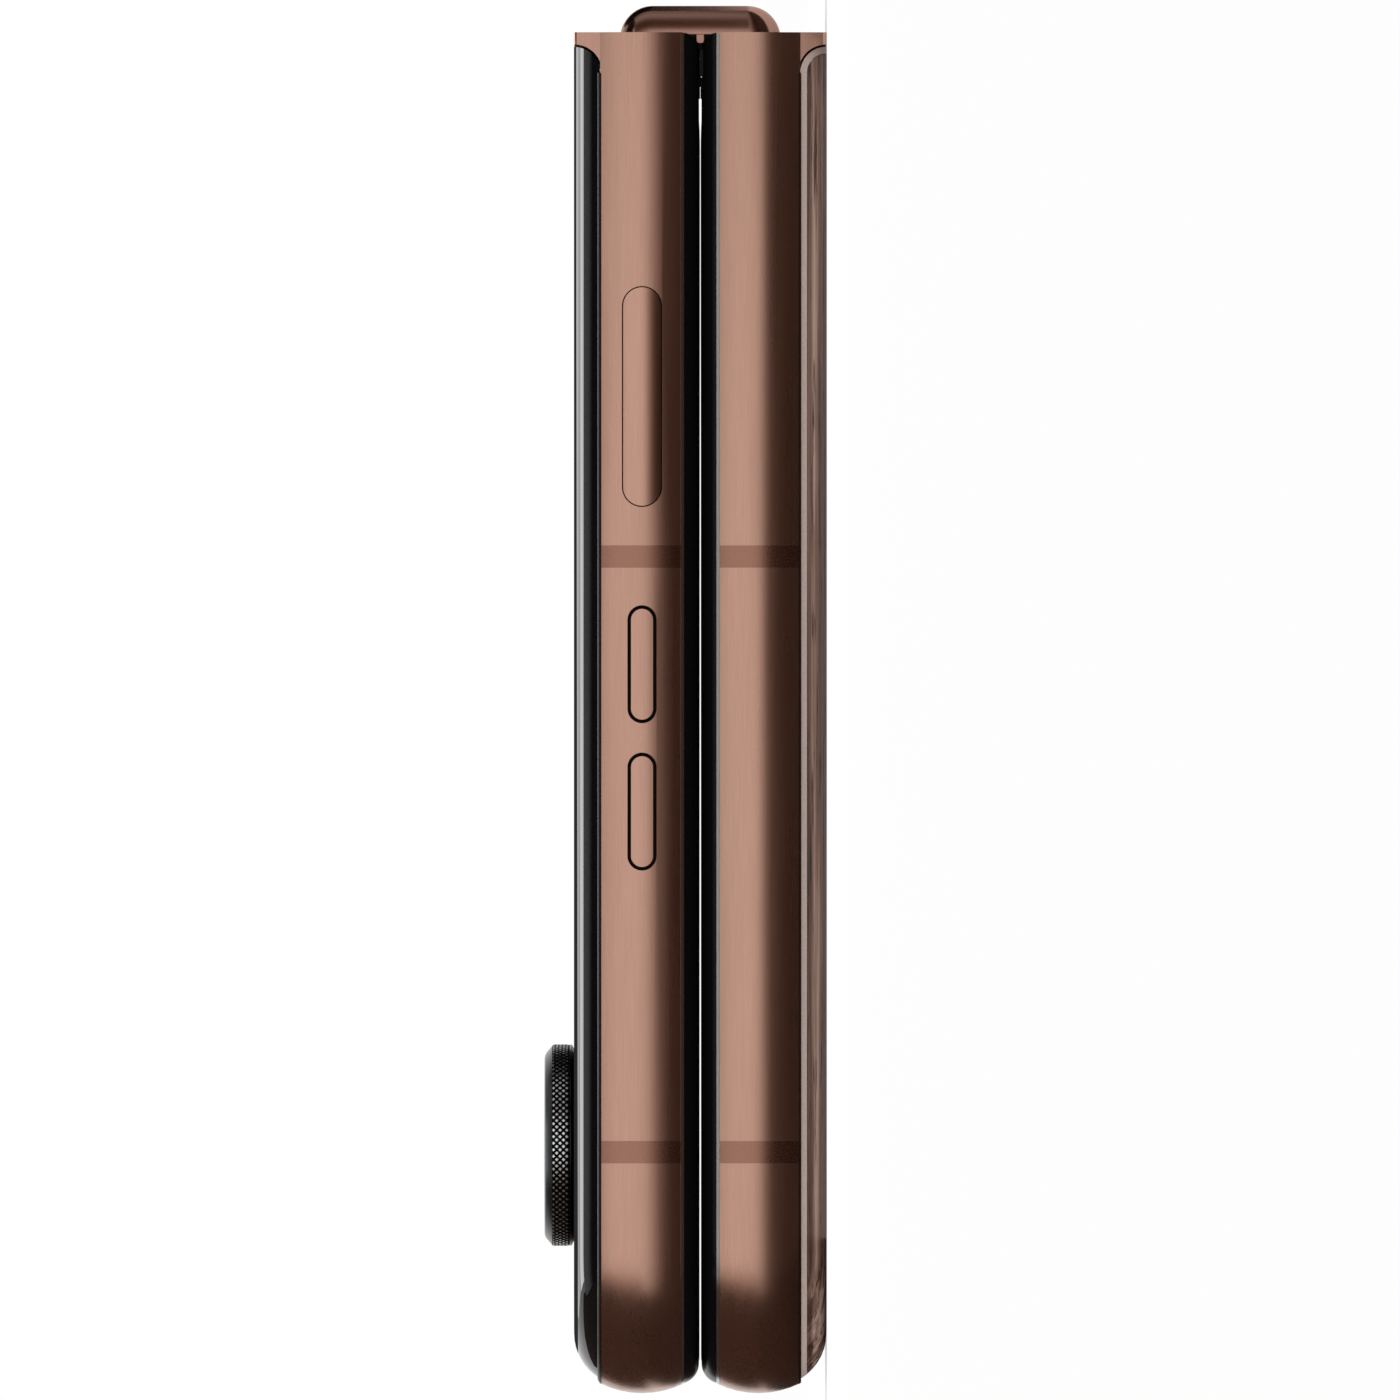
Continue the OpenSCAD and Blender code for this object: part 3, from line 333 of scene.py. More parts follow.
def new_piece(name, mesh, body, slot, *materials):
    """A mesh as a piece that rides on a body."""
    obj = bpy.data.objects.new(name, mesh)
    scene.collection.objects.link(obj)
    paint(obj, *materials)
    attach(obj, body)
    return obj


def mesh_of(name, bm, smooth=SHARP_ANGLE):
    """A mesh with smooth faces and sharp edges above an angle, in degrees."""
    bmesh.ops.recalc_face_normals(bm, faces=bm.faces)
    for face in bm.faces:
        face.smooth = True
    for e in bm.edges:
        if len(e.link_faces) == 2:
            e.smooth = e.calc_face_angle(0) < math.radians(smooth)
    mesh = bpy.data.meshes.new(name)
    bm.to_mesh(mesh)
    bm.free()
    return mesh


def soften(obj, width):
    """A round of that width on the sharp edges."""
    soft = obj.modifiers.new("edge", "BEVEL")
    soft.width = width
    soft.segments = 3
    soft.limit_method = "ANGLE"
    soft.angle_limit = math.radians(SHARP_ANGLE)
    soft.use_clamp_overlap = True
    soft.harden_normals = True


def dress(name, finish, edge=0.0, inside=None, is_inside=None):
    """A skin that follows a CAD node, with welded and softly rounded edges.

    The faces that is_inside picks get the inside material, which is painted shade.
    """
    bm = bmesh.new()
    bm.from_mesh(NODES[name].data)
    bmesh.ops.remove_doubles(bm, verts=bm.verts, dist=WELD)
    bmesh.ops.dissolve_limit(bm, angle_limit=math.radians(FLAT_ANGLE), verts=bm.verts, edges=bm.edges)
    for face in bm.faces:
        face.material_index = 1 if is_inside and is_inside(face) else 0
    obj = new_piece("skin_" + name, mesh_of("skin_" + name, bm), NODES[name]["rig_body"], SLOTS[name],
                    *([finish, inside] if inside else [finish]))
    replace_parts(obj, name)
    if edge:
        soften(obj, edge)
    return obj


def rim_tube(name, section, y_end, is_lid, body, slot, finish, stations=()):
    """A thin strip round both sides and the free end.

    The section is a list of (inset, height) points, or a function of Y that gives one.
    """
    path = [(HALF_W, y, 1, 0) for y in (y_end, *stations)]
    for side in (1, -1):
        for i in range(CORNER_STEPS + 1):
            share = i / CORNER_STEPS
            turn = math.radians(90 * i / CORNER_STEPS) if side > 0 else math.radians(90 * (1 - share))
            nx, ny = side * math.cos(turn), -math.sin(turn)
            path.append((side * (HALF_W - CORNER_R) + CORNER_R * nx, CORNER_Y + CORNER_R * ny, nx, ny))
    path += [(-HALF_W, y, -1, 0) for y in (*reversed(stations), y_end)]
    bm = bmesh.new()
    rings = []
    for x, y, nx, ny in path:
        points = section(y) if callable(section) else section
        rings.append([bm.verts.new((x - nx * inset, y - ny * inset, 2 * FOLD_Z - z if is_lid else z))
                      for inset, z in points])
    count = len(rings[0])
    for a, b in zip(rings, rings[1:]):
        for i in range(count):
            j = (i + 1) % count
            bm.faces.new((a[i], a[j], b[j], b[i]))
    bm.faces.new(rings[0])
    bm.faces.new(rings[-1])
    return new_piece(name, mesh_of(name, bm, 50.0), body, slot, finish)


def turned(bm, profile, centre, base_z, steps, closed=True):
    """Adds a turned shape about a vertical line; the profile is (radius, height)."""
    rings = []
    for r, h in profile:
        rings.append([bm.verts.new((centre[0] + r * math.cos(2 * math.pi * i / steps),
                                    centre[1] + r * math.sin(2 * math.pi * i / steps), base_z + h))
                      for i in range(steps)])
    pairs = list(zip(rings, rings[1:])) + ([(rings[-1], rings[0])] if closed else [])
    for a, b in pairs:
        for i in range(steps):
            j = (i + 1) % steps
            bm.faces.new((a[i], a[j], b[j], b[i]))
    return rings


def band_inset(z):
    """How far the band's face lies inside the widest outline, at a height in a half."""
    return BAND_R - math.sqrt(BAND_R ** 2 - (z - BAND_MID) ** 2)


# ---------- skins of the visible CAD pieces ----------

HOLE_DEPTH = 2.2 * MM          # how far the side holes' inner faces reach in
END_DEPTH = 2.1 * MM           # the same at the free end
FACE_DEPTH = 0.75 * MM         # a deeper face is inside a hole, whichever way it points
OUTWARD = 0.2                  # a face whose normal leans out more than this is the band's own
KEYS_Y = (-14 * MM, 30 * MM)
TRAY_Y = (-26 * MM, -10 * MM)
END_HALF = 24 * MM             # the free end's holes lie this near the middle
HOLE_HALF = {"keys": 2.2 * MM, "end": 1.8 * MM, "tray": 1.2 * MM}   # half their height in the band
KEY_FACE = 0.3 * MM            # depth of a key's face; what lies deeper is in the shade
BORDER_DROP = 0.2 * MM         # how far the cover glass falls along its border


def in_key_hole(face):
    """Faces inside the key holes and the room behind them."""
    c = face.calc_center_median()
    near_keys = (c.x > HALF_W - HOLE_DEPTH and KEYS_Y[0] < c.y < KEYS_Y[1]
                 and abs(c.z - 2 * FOLD_Z + BAND_MID) < HOLE_HALF["keys"])
    return near_keys and (face.normal.x < OUTWARD or c.x < HALF_W - FACE_DEPTH)


def in_side_hole(face):
    """Faces inside the charging socket's and loudspeaker's holes and the tray's slot."""
    c = face.calc_center_median()
    end = c.y < FREE_Y + END_DEPTH and abs(c.x) < END_HALF and abs(c.z - BAND_MID) < HOLE_HALF["end"]
    tray = (c.x < -HALF_W + HOLE_DEPTH and TRAY_Y[0] < c.y < TRAY_Y[1]
            and abs(c.z - BAND_MID) < HOLE_HALF["tray"])
    return ((end and face.normal.y > -OUTWARD)
            or (tray and (face.normal.x > -OUTWARD or c.x > -HALF_W + FACE_DEPTH)))


def below_the_face(name):
    """Tells a key's sides and flange from its face."""
    face_x = high(name).x - KEY_FACE
    return lambda face: face.calc_center_median().x < face_x


def on_the_border(face):
    """Faces of the cover glass where it starts to curve down."""
    return 0.9 < face.normal.z < 0.99995 and face.calc_center_median().z > TOP_Z - BORDER_DROP


FRAME_EDGE = 0.08 * MM
# faces inside the side holes and the key holes get painted shade
dress("base_frame", copper, FRAME_EDGE, painted_hole_shade, in_side_hole)
dress("lid_frame", copper, FRAME_EDGE, painted_hole_shade, in_key_hole)
for name, finish, edge in (
        ("rear_panel", panel, 0.05), ("panel_trim", trim, 0.05),
        ("base_bezel", black_bezel, 0.05), ("lid_bezel", black_bezel, 0.05),
        ("base_antenna_breaks", antenna, 0), ("lid_antenna_breaks", antenna, 0)):
    dress(name, finish, edge * MM)
# the cover glass's border gets painted shade
dress("cover_glass", cover, 0.03 * MM, painted_border_shade, on_the_border)
# each key's sides and flange get painted shade
for name, edge in (("power_key", 0.1), ("volume_up_key", 0.12), ("volume_down_key", 0.12)):
    dress(name, copper_key, edge * MM, painted_hole_shade, below_the_face(name))


# ---------- the spine: a pillow-shaped end on a hollow shell ----------

SPINE_R = 2.1 * MM
SPINE_END = high("spine_cover").x
SPINE_HALF = (high("spine_cover").z - low("spine_cover").z) / 2
SPINE_LOW = low("spine_cover").y
END_LOW = HINGE_Y - 0.1 * MM
SPINE_WALL = 0.55 * MM
PILLOW_X, PILLOW_Y = 1.2 * MM, 1.75 * MM   # the pillow's depth along X and its inset
ARC_STEPS = 16


def spine_outline(inset, y_low):
    """Side view of the spine as (y, z) points, from one lower corner over the top to the other."""
    r = SPINE_R - inset
    half, top = SPINE_HALF - inset, SPINE_TOP - inset
    points = [(y_low, FOLD_Z - half)]
    for side in (-1, 1):
        for i in range(ARC_STEPS + 1):
            a = math.radians(90 * i / ARC_STEPS) if side < 0 else math.radians(90 * (1 - i / ARC_STEPS))
            points.append((top - r + r * math.sin(a), FOLD_Z + side * (half - r + r * math.cos(a))))
    points.append((y_low, FOLD_Z + half))
    return points


def lofted(bm, sections):
    """Closed loft through sections of (x, points)."""
    rings = [[bm.verts.new((x, y, z)) for y, z in points] for x, points in sections]
    count = len(rings[0])
    for a, b in zip(rings, rings[1:]):
        for i in range(count):
            j = (i + 1) % count
            bm.faces.new((a[i], a[j], b[j], b[i]))
    bm.faces.new(rings[0])
    bm.faces.new(rings[-1])


def shape(name, build):
    """An object that isn't shown, for a boolean."""
    bm = bmesh.new()
    build(bm)
    obj = bpy.data.objects.new(name, mesh_of(name, bm))
    scene.collection.objects.link(obj)
    return obj


def spine_solid(bm):
    """The spine's outside, which swells from both ends."""
    turns = [math.radians(a) for a in range(0, 91, 5)]
    end = [(SPINE_END - PILLOW_X * (1 - math.cos(a)),
            spine_outline(PILLOW_Y * (1 - math.sin(a)), SPINE_LOW)) for a in turns]
    lofted(bm, [(-x, points) for x, points in end] + end[::-1])


def spine_room(bm):
    """The room inside the spine's wall."""
    x = SPINE_END - SPINE_WALL
    room = spine_outline(SPINE_WALL, SPINE_LOW - 1 * MM)
    lofted(bm, [(-x, room), (x, room)])


def box_mesh(bm, x1, x2, y1, y2, z1, z2):
    """Adds a box between those limits."""
    made = bmesh.ops.create_cube(bm, size=1.0)["verts"]
    bmesh.ops.scale(bm, vec=(x2 - x1, y2 - y1, z2 - z1), verts=made)
    bmesh.ops.translate(bm, vec=((x1 + x2) / 2, (y1 + y2) / 2, (z1 + z2) / 2), verts=made)


def spine_ends(bm):
    """What is cut off both ends, below the frames' hinge edge."""
    near, past = SPINE_END - SPINE_WALL - 1 * MM, 5 * MM
    for x1, x2 in ((near, SPINE_END + past), (-SPINE_END - past, -near)):
        box_mesh(bm, x1, x2, SPINE_LOW - past, END_LOW, -past, 2 * FOLD_Z + past)


spine = shape("spine_skin", spine_solid)
cutters = [shape("spine_room", spine_room), shape("spine_ends", spine_ends)]
for cutter in cutters:
    cut = spine.modifiers.new("cut", "BOOLEAN")
    cut.operation = "DIFFERENCE"
    cut.solver = "EXACT"
    cut.object = cutter
bpy.context.view_layer.update()
shell = bmesh.new()
shell.from_mesh(bpy.data.meshes.new_from_object(
    spine.evaluated_get(bpy.context.evaluated_depsgraph_get())))
for gone in [spine] + cutters:
    bpy.data.objects.remove(gone)
spine_skin = new_piece("skin_spine_cover", mesh_of("skin_spine_cover", shell, 30.0), "spine",
                       "spine_brown", spine_paint)
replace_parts(spine_skin, "spine_cover")

# small tongues that close the gap between the frames at both ends of the spine
TONGUE_HALF = 0.28 * MM
tongues = bmesh.new()
for side in (-1, 1):
    x1, x2 = sorted((side * (SPINE_END - SPINE_WALL), side * SPINE_END))
    box_mesh(tongues, x1, x2, HINGE_Y - 0.7 * MM, END_LOW + 0.02 * MM,
             FOLD_Z - TONGUE_HALF, FOLD_Z + TONGUE_HALF)
tongue = new_piece("spine_tongues", mesh_of("spine_tongues", tongues), "spine", "spine_brown", spine_paint)
soften(tongue, 0.06 * MM)


# ---------- thin strips that lie on the seams ----------

PROUD = 0.012 * MM             # how far a strip stands out of the band
STRIP_DEPTH = 0.08 * MM
STRIP_LOW, STRIP_HIGH = 6.76 * MM, 6.955 * MM
SEAM_OUT, SEAM_BACK = 0.66 * MM, 0.96 * MM
SEAM_FOOT = 1.60 * MM
GASKET_BACK = 1.0 * MM
GASKET_TOP = COVER_EDGE - 0.005 * MM

for body, is_lid in (("base", False), ("lid", True)):
    strip = [(band_inset(STRIP_LOW) - PROUD, STRIP_LOW),
             (band_inset(STRIP_HIGH) - PROUD, STRIP_HIGH),
             (band_inset(STRIP_HIGH) + STRIP_DEPTH, STRIP_HIGH),
             (band_inset(STRIP_LOW) + STRIP_DEPTH, STRIP_LOW)]
    rim_tube(body + "_polished_edge", strip, HINGE_Y - 0.1 * MM, is_lid, body, "hinge_steel", polished)

rim_tube("glass_gasket", [(SEAM_OUT, GASKET_TOP), (0.72 * MM, 1.56 * MM), (0.84 * MM, 1.50 * MM),
                          (GASKET_BACK, 1.48 * MM), (GASKET_BACK, GASKET_TOP)],
         COVER_END_Y, True, "lid", "bezel_black", gasket)

# each strip fills the seam and reaches a little over the band's edge; there its dark brown is painted shade
for name, body, slot, seam_top in (("panel_seam", "base", "spine_brown", 1.76 * MM),
                                   ("cover_seam", "lid", "bezel_black", 1.73 * MM)):
    seam = [(band_inset(seam_top) - PROUD / 2, seam_top), (0.61 * MM, COVER_EDGE), (SEAM_OUT, SEAM_FOOT),
            (SEAM_BACK, SEAM_FOOT), (SEAM_BACK, COVER_EDGE), (SEAM_OUT, seam_top)]
    rim_tube(name, seam, COVER_END_Y, body == "lid", body, slot, seam_and_shade_brown)


# ---------- low lips along both bezels, which nearly meet when the phone is shut ----------

# (Y, depth of the lip's top below the fold plane), in millimetres
LIP_LINE = ((38.63, 0.012), (38.57, 0.080), (36.6, 0.076), (36.0, 0.046), (35.3, 0.029), (34.7, 0.023),
            (25.0, 0.028), (15.0, 0.035), (-6.0, 0.042), (-32.0, 0.048), (-44.0, 0.048))
LIP_HEIGHT = 0.4 * MM
LIP_END_Y = 39.3 * MM


def lip_section(y):
    """Section of a lip at that Y, with its top where LIP_LINE puts it."""
    y_mm = y / MM
    for (y1, g1), (y2, g2) in zip(LIP_LINE, LIP_LINE[1:]):
        if y_mm >= y2:
            below = g1 + (g2 - g1) * min(max((y1 - y_mm) / (y1 - y2), 0), 1)
            break
    top, foot = FOLD_Z - below * MM, FOLD_Z - LIP_HEIGHT
    return [(2.0 * MM, foot), (2.08 * MM, top), (2.42 * MM, top), (2.5 * MM, foot)]


for body, is_lid in (("base", False), ("lid", True)):
    rim_tube(body + "_bezel_lip", lip_section, LIP_END_Y, is_lid, body, "bezel_black", black_bezel,
             [y * MM for y, below in LIP_LINE[:-2]])


# ---------- camera rings with a real diamond knurl ----------

RING_H = high("camera_ring_main").z - TOP_Z
RING_R = (high("camera_ring_main").x - low("camera_ring_main").x) / 2
WINDOW_R = 4.6 * MM
DIAMONDS = 96
KNURL_ROWS = [h * MM for h in (0.38, 0.52, 0.735, 0.95, 1.165, 1.38, 1.47)]
KNURL_DEPTH = 0.12 * MM
KNURL_TIP = 0.10 * MM          # cut off each tip again by its flat
KNURL_EDGE = -0.03 * MM        # tips in the first and the last row, which get no flat
TIP_FLAT = 0.165 * MM


def camera_ring(node):
    """A camera's ring with a diamond knurl whose tip flats are painted pale metal, a painted highlight;
    gives its centre.
    """
    lo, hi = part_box(node)
    centre = ((lo.x + hi.x) / 2, (lo.y + hi.y) / 2)
    steps = 2 * DIAMONDS
    bm = bmesh.new()
    grid = []
    last = len(KNURL_ROWS) - 1
    for j, height in enumerate(KNURL_ROWS):
        z = TOP_Z + height
        row = []
        for i in range(steps):
            r = RING_R + (-KNURL_DEPTH if (i + j) % 2 else KNURL_TIP if 0 < j < last else KNURL_EDGE)
            turn = 2 * math.pi * i / steps
            row.append(bm.verts.new((centre[0] + r * math.cos(turn), centre[1] + r * math.sin(turn), z)))
        grid.append(row)
    for j in range(last):
        for i in range(steps):
            k = (i + 1) % steps
            a, b, c, d = grid[j][i], grid[j][k], grid[j + 1][k], grid[j + 1][i]
            halves = ((a, b, d), (b, c, d)) if (i + j) % 2 == 0 else ((a, b, c), (a, c, d))
            for triangle in halves:
                bm.faces.new(triangle)
    tips = [v for j in range(1, last) for i, v in enumerate(grid[j]) if (i + j) % 2 == 0]
    foot = [(4.7 * MM, -0.8 * MM), (5.4 * MM, -0.8 * MM), (5.4 * MM, 0.02 * MM)]
    lower = foot + [(RING_R - inset * MM, h * MM) for inset, h in (
        (0.38, 0.04), (0.06, 0.22), (0.02, 0.26), (0.02, 0.33), (0.08, 0.36))]
    upper = [(RING_R - inset * MM, h * MM) for inset, h in (
        (0.09, 1.48), (0.11, 1.50), (0.50, 1.84), (0.58, 1.89))]
    upper += [(RING_R - inset * MM, RING_H - down * MM) for inset, down in ((0.74, 0.01), (0.82, 0))]
    upper += [(WINDOW_R + out * MM, RING_H - down * MM) for out, down in (
        (0.55, 0), (0.45, 0.04), (0.12, 0.42), (0.1, 0.6))]
    below = turned(bm, lower, centre, TOP_Z, steps, False)
    above = turned(bm, upper, centre, TOP_Z, steps, False)
    for a, b in ((below[-1], grid[0]), (grid[-1], above[0]), (above[-1], below[0])):
        for i in range(steps):
            k = (i + 1) % steps
            bm.faces.new((a[i], a[k], b[k], b[i]))
    flats = bmesh.ops.bevel(bm, geom=tips, offset=TIP_FLAT, offset_type="OFFSET", segments=1,
                            profile=0.5, affect="VERTICES")["faces"]
    # the tip flats get the pale metal, a painted highlight
    for face in flats:
        face.material_index = 1
    obj = new_piece("skin_" + node, mesh_of("skin_" + node, bm, 20.0), "lid", SLOTS[node],
                    ring_black, knurl_tip_highlight)
    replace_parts(obj, node)
    return centre


def lens(kind, centre):
    """The window glass, and under it a stepped barrel with a domed coated lens."""
    top = RING_H - 0.55 * MM
    pane = bmesh.new()
    rings = turned(pane, [(WINDOW_R + 0.05 * MM, top - 0.25 * MM), (WINDOW_R + 0.05 * MM, top - 0.05 * MM),
                          (WINDOW_R, top)], centre, TOP_Z, 96, False)
    pane.faces.new(rings[-1])
    pane.faces.new(rings[0])
    glass = new_piece("lens_window_" + kind, mesh_of("lens_window_" + kind, pane, 30.0), "lid",
                      "lens_glass", window_glass)
    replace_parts(glass, "camera_lens_" + kind)
    barrel = bmesh.new()
    steps_down = [(4.4, -2.35), (4.4, -0.31), (3.75, -0.31), (3.7, -0.45), (3.3, -0.5), (3.25, -0.7),
                  (2.8, -0.75), (2.75, -0.95), (2.3, -1.0), (2.25, -1.2), (1.9, -1.22), (1.9, -2.35)]
    turned(barrel, [(r * MM, top + h * MM) for r, h in steps_down], centre, TOP_Z, 96)
    new_piece("lens_barrel_" + kind, mesh_of("lens_barrel_" + kind, barrel, 30.0), "lid", "camera_black",
              matte_black)
    dome = bmesh.new()
    rings = turned(dome, [(2.28 * MM * math.cos(a), top - 1.42 * MM + 0.55 * MM * math.sin(a))
                          for a in [math.radians(d) for d in range(0, 90, 9)]], centre, TOP_Z, 64, False)
    dome.faces.new(rings[-1])
    dome.faces.new(rings[0])
    new_piece("lens_dome_" + kind, mesh_of("lens_dome_" + kind, dome, 60.0), "lid", "lens_glass", lens_coat)


for kind in ("main", "wide"):
    lens(kind, camera_ring("camera_ring_" + kind))
    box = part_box("camera_module_" + kind)
    x, y = (box[0].x + box[1].x) / 2, (box[0].y + box[1].y) / 2
    half = min(box[1].x - box[0].x, box[1].y - box[0].y) / 2
    body = bmesh.new()
    box_mesh(body, x - half, x + half, y - half, y + half, box[0].z, TOP_Z - 1.6 * MM)
    skin = new_piece("module_box_" + kind, mesh_of("module_box_" + kind, body), "lid",
                     "camera_black", matte_black)
    soften(skin, 0.3 * MM)
    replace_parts(skin, "camera_module_" + kind)


# ---------- the folding display's free strip ----------

def crease_half(name, side):
    """Half of the loop: from one display's edge to the middle of the fold."""
    rows = 13
    columns = (-1, -0.5, 0, 0.5, 1)
    x_end = high("display_lower").x - 0.4 * MM
    half_gap = FOLD_Z - high("display_lower").z
    skin_t = 0.12 * MM
    start = Vector((0, PIVOT_Y, FOLD_Z + side * half_gap))
    end = Vector((0, PIVOT_Y - (PIVOT_OFF - half_gap), FOLD_Z))
    bm = bmesh.new()
    sheets = []
    for depth in (0, skin_t):
        rows_of = []
        for i in range(rows):
            p = start.lerp(end, i / (rows - 1))
            y, z = p.y + depth * (i / (rows - 1)), p.z + side * depth * (1 - i / (rows - 1))
            rows_of.append([bm.verts.new((x_end * s, y, z)) for s in columns])
        sheets.append(rows_of)
    top, under = sheets
    spans = range(len(columns) - 1)
    for i in range(rows - 1):
        for j in spans:
            bm.faces.new((top[i][j], top[i][j + 1], top[i + 1][j + 1], top[i + 1][j]))
            bm.faces.new((under[i][j], under[i + 1][j], under[i + 1][j + 1], under[i][j + 1]))
        for j in (0, len(columns) - 1):
            bm.faces.new((top[i][j], top[i + 1][j], under[i + 1][j], under[i][j]))
    for i in (0, rows - 1):
        for j in spans:
            bm.faces.new((top[i][j], under[i][j], under[i][j + 1], top[i][j + 1]))
    obj = bpy.data.objects.new(name, mesh_of(name, bm, 60.0))
    scene.collection.objects.link(obj)
    paint(obj, screen)
    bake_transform(obj)
    return obj


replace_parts(crease_half("crease_base_side", -1), "display_crease")
crease_half("crease_lid_side", 1)


# ---------- camera ----------

PHOTO_PX = 1400
SPINE_ROW, FREE_ROW = 6.1, 1393.7    # rows of the spine's top and the free end in the photograph
COVER_COLUMN = 574.0                 # column of the cover glass's face
PX_SIZE = LENGTH / (FREE_ROW - SPINE_ROW)
SENSOR = 36.0
CAMERA_FROM_SIDE = 4.1
FILL = 1.0013                  # the far side of the body is a little smaller than its near side
photo = bpy.data.cameras.new("photo")
photo.sensor_width = SENSOR
photo.lens = FILL * SENSOR * CAMERA_FROM_SIDE / (PHOTO_PX * PX_SIZE)
photo.clip_start = 0.1
photo.clip_end = 20.0
camera = bpy.data.objects.new("photo", photo)
scene.collection.objects.link(camera)
turn = Matrix(((0, 0, -1), (0, 1, 0), (1, 0, 0))).transposed()
centre_y = SPINE_TOP - (PHOTO_PX / 2 - SPINE_ROW) * PX_SIZE
centre_z = TOP_Z - (PHOTO_PX / 2 - COVER_COLUMN) * PX_SIZE
camera.matrix_world = Matrix.Translation((HALF_W + CAMERA_FROM_SIDE, centre_y, centre_z)) @ turn.to_4x4()
scene.camera = camera


# ---------- floor, backdrop and light ----------

world = bpy.data.worlds.new("studio")
scene.world = world
world.use_nodes = True
sky = world.node_tree
sky.nodes.clear()
glow = add(sky, "ShaderNodeBackground", Color=(1, 1, 1, 1), Strength=1.0)
sky.links.new(glow.outputs[0], add(sky, "ShaderNodeOutputWorld").inputs["Surface"])


def stage_plane(name, corners, shade):
    """A matt plane of the stage, in one grey."""
    mesh = bpy.data.meshes.new(name)
    mesh.from_pydata(corners, [], [tuple(range(len(corners)))])
    obj = bpy.data.objects.new(name, mesh)
    scene.collection.objects.link(obj)
    look, tree, shader = material(name)
    shader.inputs["Base Color"].default_value = (shade, shade, shade, 1)
    shader.inputs["Roughness"].default_value = 1.0
    shader.inputs["Specular IOR Level"].default_value = 0.0
    paint(obj, look)
    return obj


FLOOR = 4.0
FLOOR_Z = -0.02 * MM
FLOOR_SEEN = 0.5               # share of plain white where a ray sees the floor
floor = stage_plane("floor", [(-FLOOR, -FLOOR, FLOOR_Z), (FLOOR, -FLOOR, FLOOR_Z),
                              (FLOOR, FLOOR, FLOOR_Z), (-FLOOR, FLOOR, FLOOR_Z)], 0.97)
tree = floor.data.materials[0].node_tree
shader = next(n for n in tree.nodes if n.type == "BSDF_PRINCIPLED")
rays = add(tree, "ShaderNodeLightPath")
seen = rays.outputs["Is Camera Ray"]
for kind in ("Is Glossy Ray", "Is Transmission Ray"):
    either = add(tree, "ShaderNodeMath", operation="MAXIMUM")
    tree.links.new(seen, either.inputs[0])
    tree.links.new(rays.outputs[kind], either.inputs[1])
    seen = either.outputs[0]
part_seen = add(tree, "ShaderNodeMath", operation="MULTIPLY")
part_seen.inputs[1].default_value = FLOOR_SEEN
tree.links.new(seen, part_seen.inputs[0])
blank = add(tree, "ShaderNodeEmission", Strength=1.0)
lighter = add(tree, "ShaderNodeMixShader")
tree.links.new(part_seen.outputs[0], lighter.inputs[0])
tree.links.new(shader.outputs[0], lighter.inputs[1])
tree.links.new(blank.outputs[0], lighter.inputs[2])
floor_out = next(n for n in tree.nodes if n.type == "OUTPUT_MATERIAL")
tree.links.new(lighter.outputs[0], floor_out.inputs["Surface"])


def card(name, corners, axis, start, end, *stops):
    """A studio card that only reflections see, graded along one axis by (position, colour) stops."""
    obj = stage_plane(name, corners, 0.0)
    obj.visible_camera = False
    obj.visible_diffuse = False
    obj.visible_shadow = False
    obj.visible_transmission = False
    tree = obj.data.materials[0].node_tree
    parts = add(tree, "ShaderNodeSeparateXYZ")
    tree.links.new(place(tree), parts.inputs[0])
    size = add(tree, "ShaderNodeMath", operation="ABSOLUTE")
    tree.links.new(parts.outputs[axis], size.inputs[0])
    shader = next(n for n in tree.nodes if n.type == "BSDF_PRINCIPLED")
    tree.links.new(ramp(tree, spread(tree, size.outputs[0], 0.0, 1.0, start, end), *stops),
                   shader.inputs["Base Color"])


def level(name, x1, x2, y1, y2, z, start, end, *stops):
    """A level card, graded along X."""
    card(name, [(x2, y2, z), (x1, y2, z), (x1, y1, z), (x2, y1, z)], "X", start, end, *stops)


def upright(name, x1, y1, x2, y2, top, axis, start, end, *stops):
    """A card that stands on the floor between two points."""
    card(name, [(x1, y1, 0), (x2, y2, 0), (x2, y2, top), (x1, y1, top)], axis, start, end, *stops)


def even(*colour):
    """Stops for a card of one colour."""
    return (0, colour), (1, colour)


def greys(*stops):
    """Stops given as (position, grey)."""
    return [(position, (grey, grey, grey)) for position, grey in stops]


NEAR = HALF_W + 42 * MM
FAR = HALF_W + 255 * MM
CARD_Z = 0.01 * MM             # the floor cards lie just above the floor
BLACK = even(0.01, 0.01, 0.01)

level("card_floor", HALF_W, FAR, -0.2, 0.3, CARD_Z, HALF_W, FAR,
      (0, (0.075, 0.055, 0.045)), (0.022, (0.08, 0.055, 0.042)), (0.038, (0.035, 0.02, 0.014)),
      (0.078, (0.08, 0.055, 0.045)), (0.137, (0.30, 0.26, 0.24)), (0.205, (0.53, 0.50, 0.48)),
      (0.35, (0.74, 0.72, 0.71)), (0.52, (0.86, 0.86, 0.86)), (1, (0.97, 0.97, 0.97)))
card("card_below", [(-0.02, -0.034, 2 * CARD_Z), (-0.1, -0.2, 2 * CARD_Z), (FAR, -0.2, 2 * CARD_Z),
                    (NEAR, -0.067, 2 * CARD_Z), (HALF_W, -0.034, 2 * CARD_Z)],
     "X", 0, FAR, *even(0.05, 0.036, 0.03))
upright("card_end", -0.25, -0.2, 0.8, -0.2, 0.6, "X", 0.23, 0.8,
        (0, (0.068, 0.047, 0.038)), (0.14, (0.23, 0.18, 0.16)), (0.23, (0.46, 0.40, 0.37)),
        (0.38, (0.74, 0.68, 0.65)), (0.60, (0.90, 0.88, 0.87)), (1, (0.97, 0.97, 0.97)))
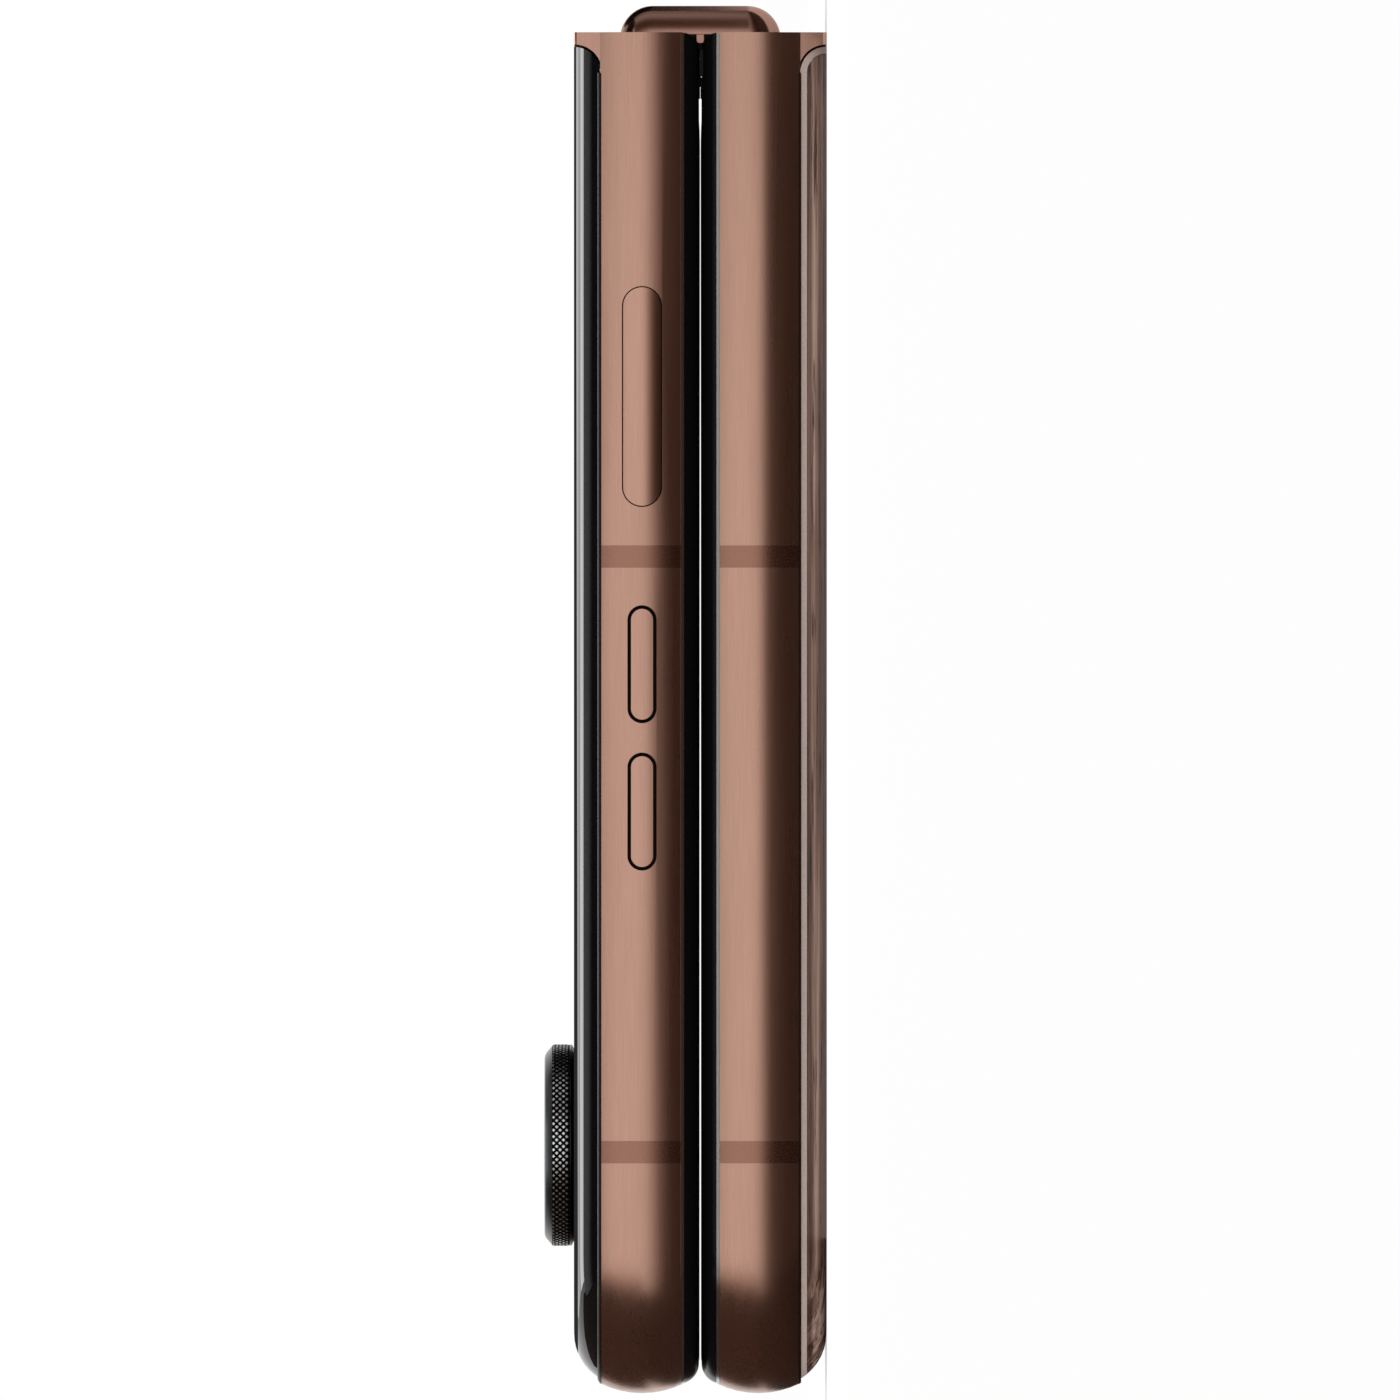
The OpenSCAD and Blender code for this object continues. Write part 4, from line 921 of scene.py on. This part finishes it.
upright("card_hinge", -0.5, 0.3, 0.057, 0.3, 0.6, "X", 0, 1, *BLACK)
near_hinge = ((0, (0.85, 0.85, 0.85)), (0.078, (0.60, 0.59, 0.58)), (0.156, (0.34, 0.32, 0.31)),
              (0.222, (0.20, 0.16, 0.14)), (0.30, (0.11, 0.075, 0.055)), (0.444, (0.09, 0.055, 0.035)),
              (0.60, (0.15, 0.12, 0.10)), (0.744, (0.27, 0.26, 0.26)), (0.867, (0.42, 0.44, 0.46)),
              (0.962, (0.30, 0.28, 0.27)), (1, (0.20, 0.17, 0.15)))
upright("card_glance", 0.140, 0.053, 0.094, 0.125, 0.1, "Y", 0.053, 0.143, *near_hinge)
upright("card_shoulder", 0.094, 0.125, 0.046, 0.143, 0.1, "Y", 0.053, 0.143, *near_hinge)
level("card_above", 0.01, 0.44, -0.6, 0.6, 0.5, 0.01, 0.10, *greys((0, 0.5), (0.5, 0.25), (1, 0.01)))
level("card_glow", -0.125, 0.01, -0.6, 0.6, 0.5, 0, 1, *even(0.55, 0.55, 0.55))


def soft_box(name, at, to, width, length, radiance):
    """A lamp whose length lies along Y."""
    light = bpy.data.lights.new(name, "AREA")
    light.shape = "RECTANGLE"
    light.size = width
    light.size_y = length
    light.energy = radiance * math.pi * width * length
    obj = bpy.data.objects.new(name, light)
    back = (Vector(at) - Vector(to)).normalized()
    along = Vector((0, 1, 0))
    turned_to = Matrix((along.cross(back), along, back)).transposed().to_4x4()
    obj.matrix_world = Matrix.Translation(at) @ turned_to
    scene.collection.objects.link(obj)
    obj.visible_camera = False


EDGE_MID = -0.0375             # Y that the lamps are centred on
LAMP_DISTANCE = 0.5


def lit_from(angle):
    """A point above the key side's top edge, at an angle up from +X."""
    a = math.radians(angle)
    return (HALF_W + LAMP_DISTANCE * math.cos(a), EDGE_MID, TOP_Z + LAMP_DISTANCE * math.sin(a))


top_edge = (HALF_W, EDGE_MID, TOP_Z)
soft_box("glass_line", lit_from(117), top_edge, 0.114, 0.185, 5.2)
soft_box("glass_glow", lit_from(134.5), top_edge, 0.194, 0.185, 1.7)
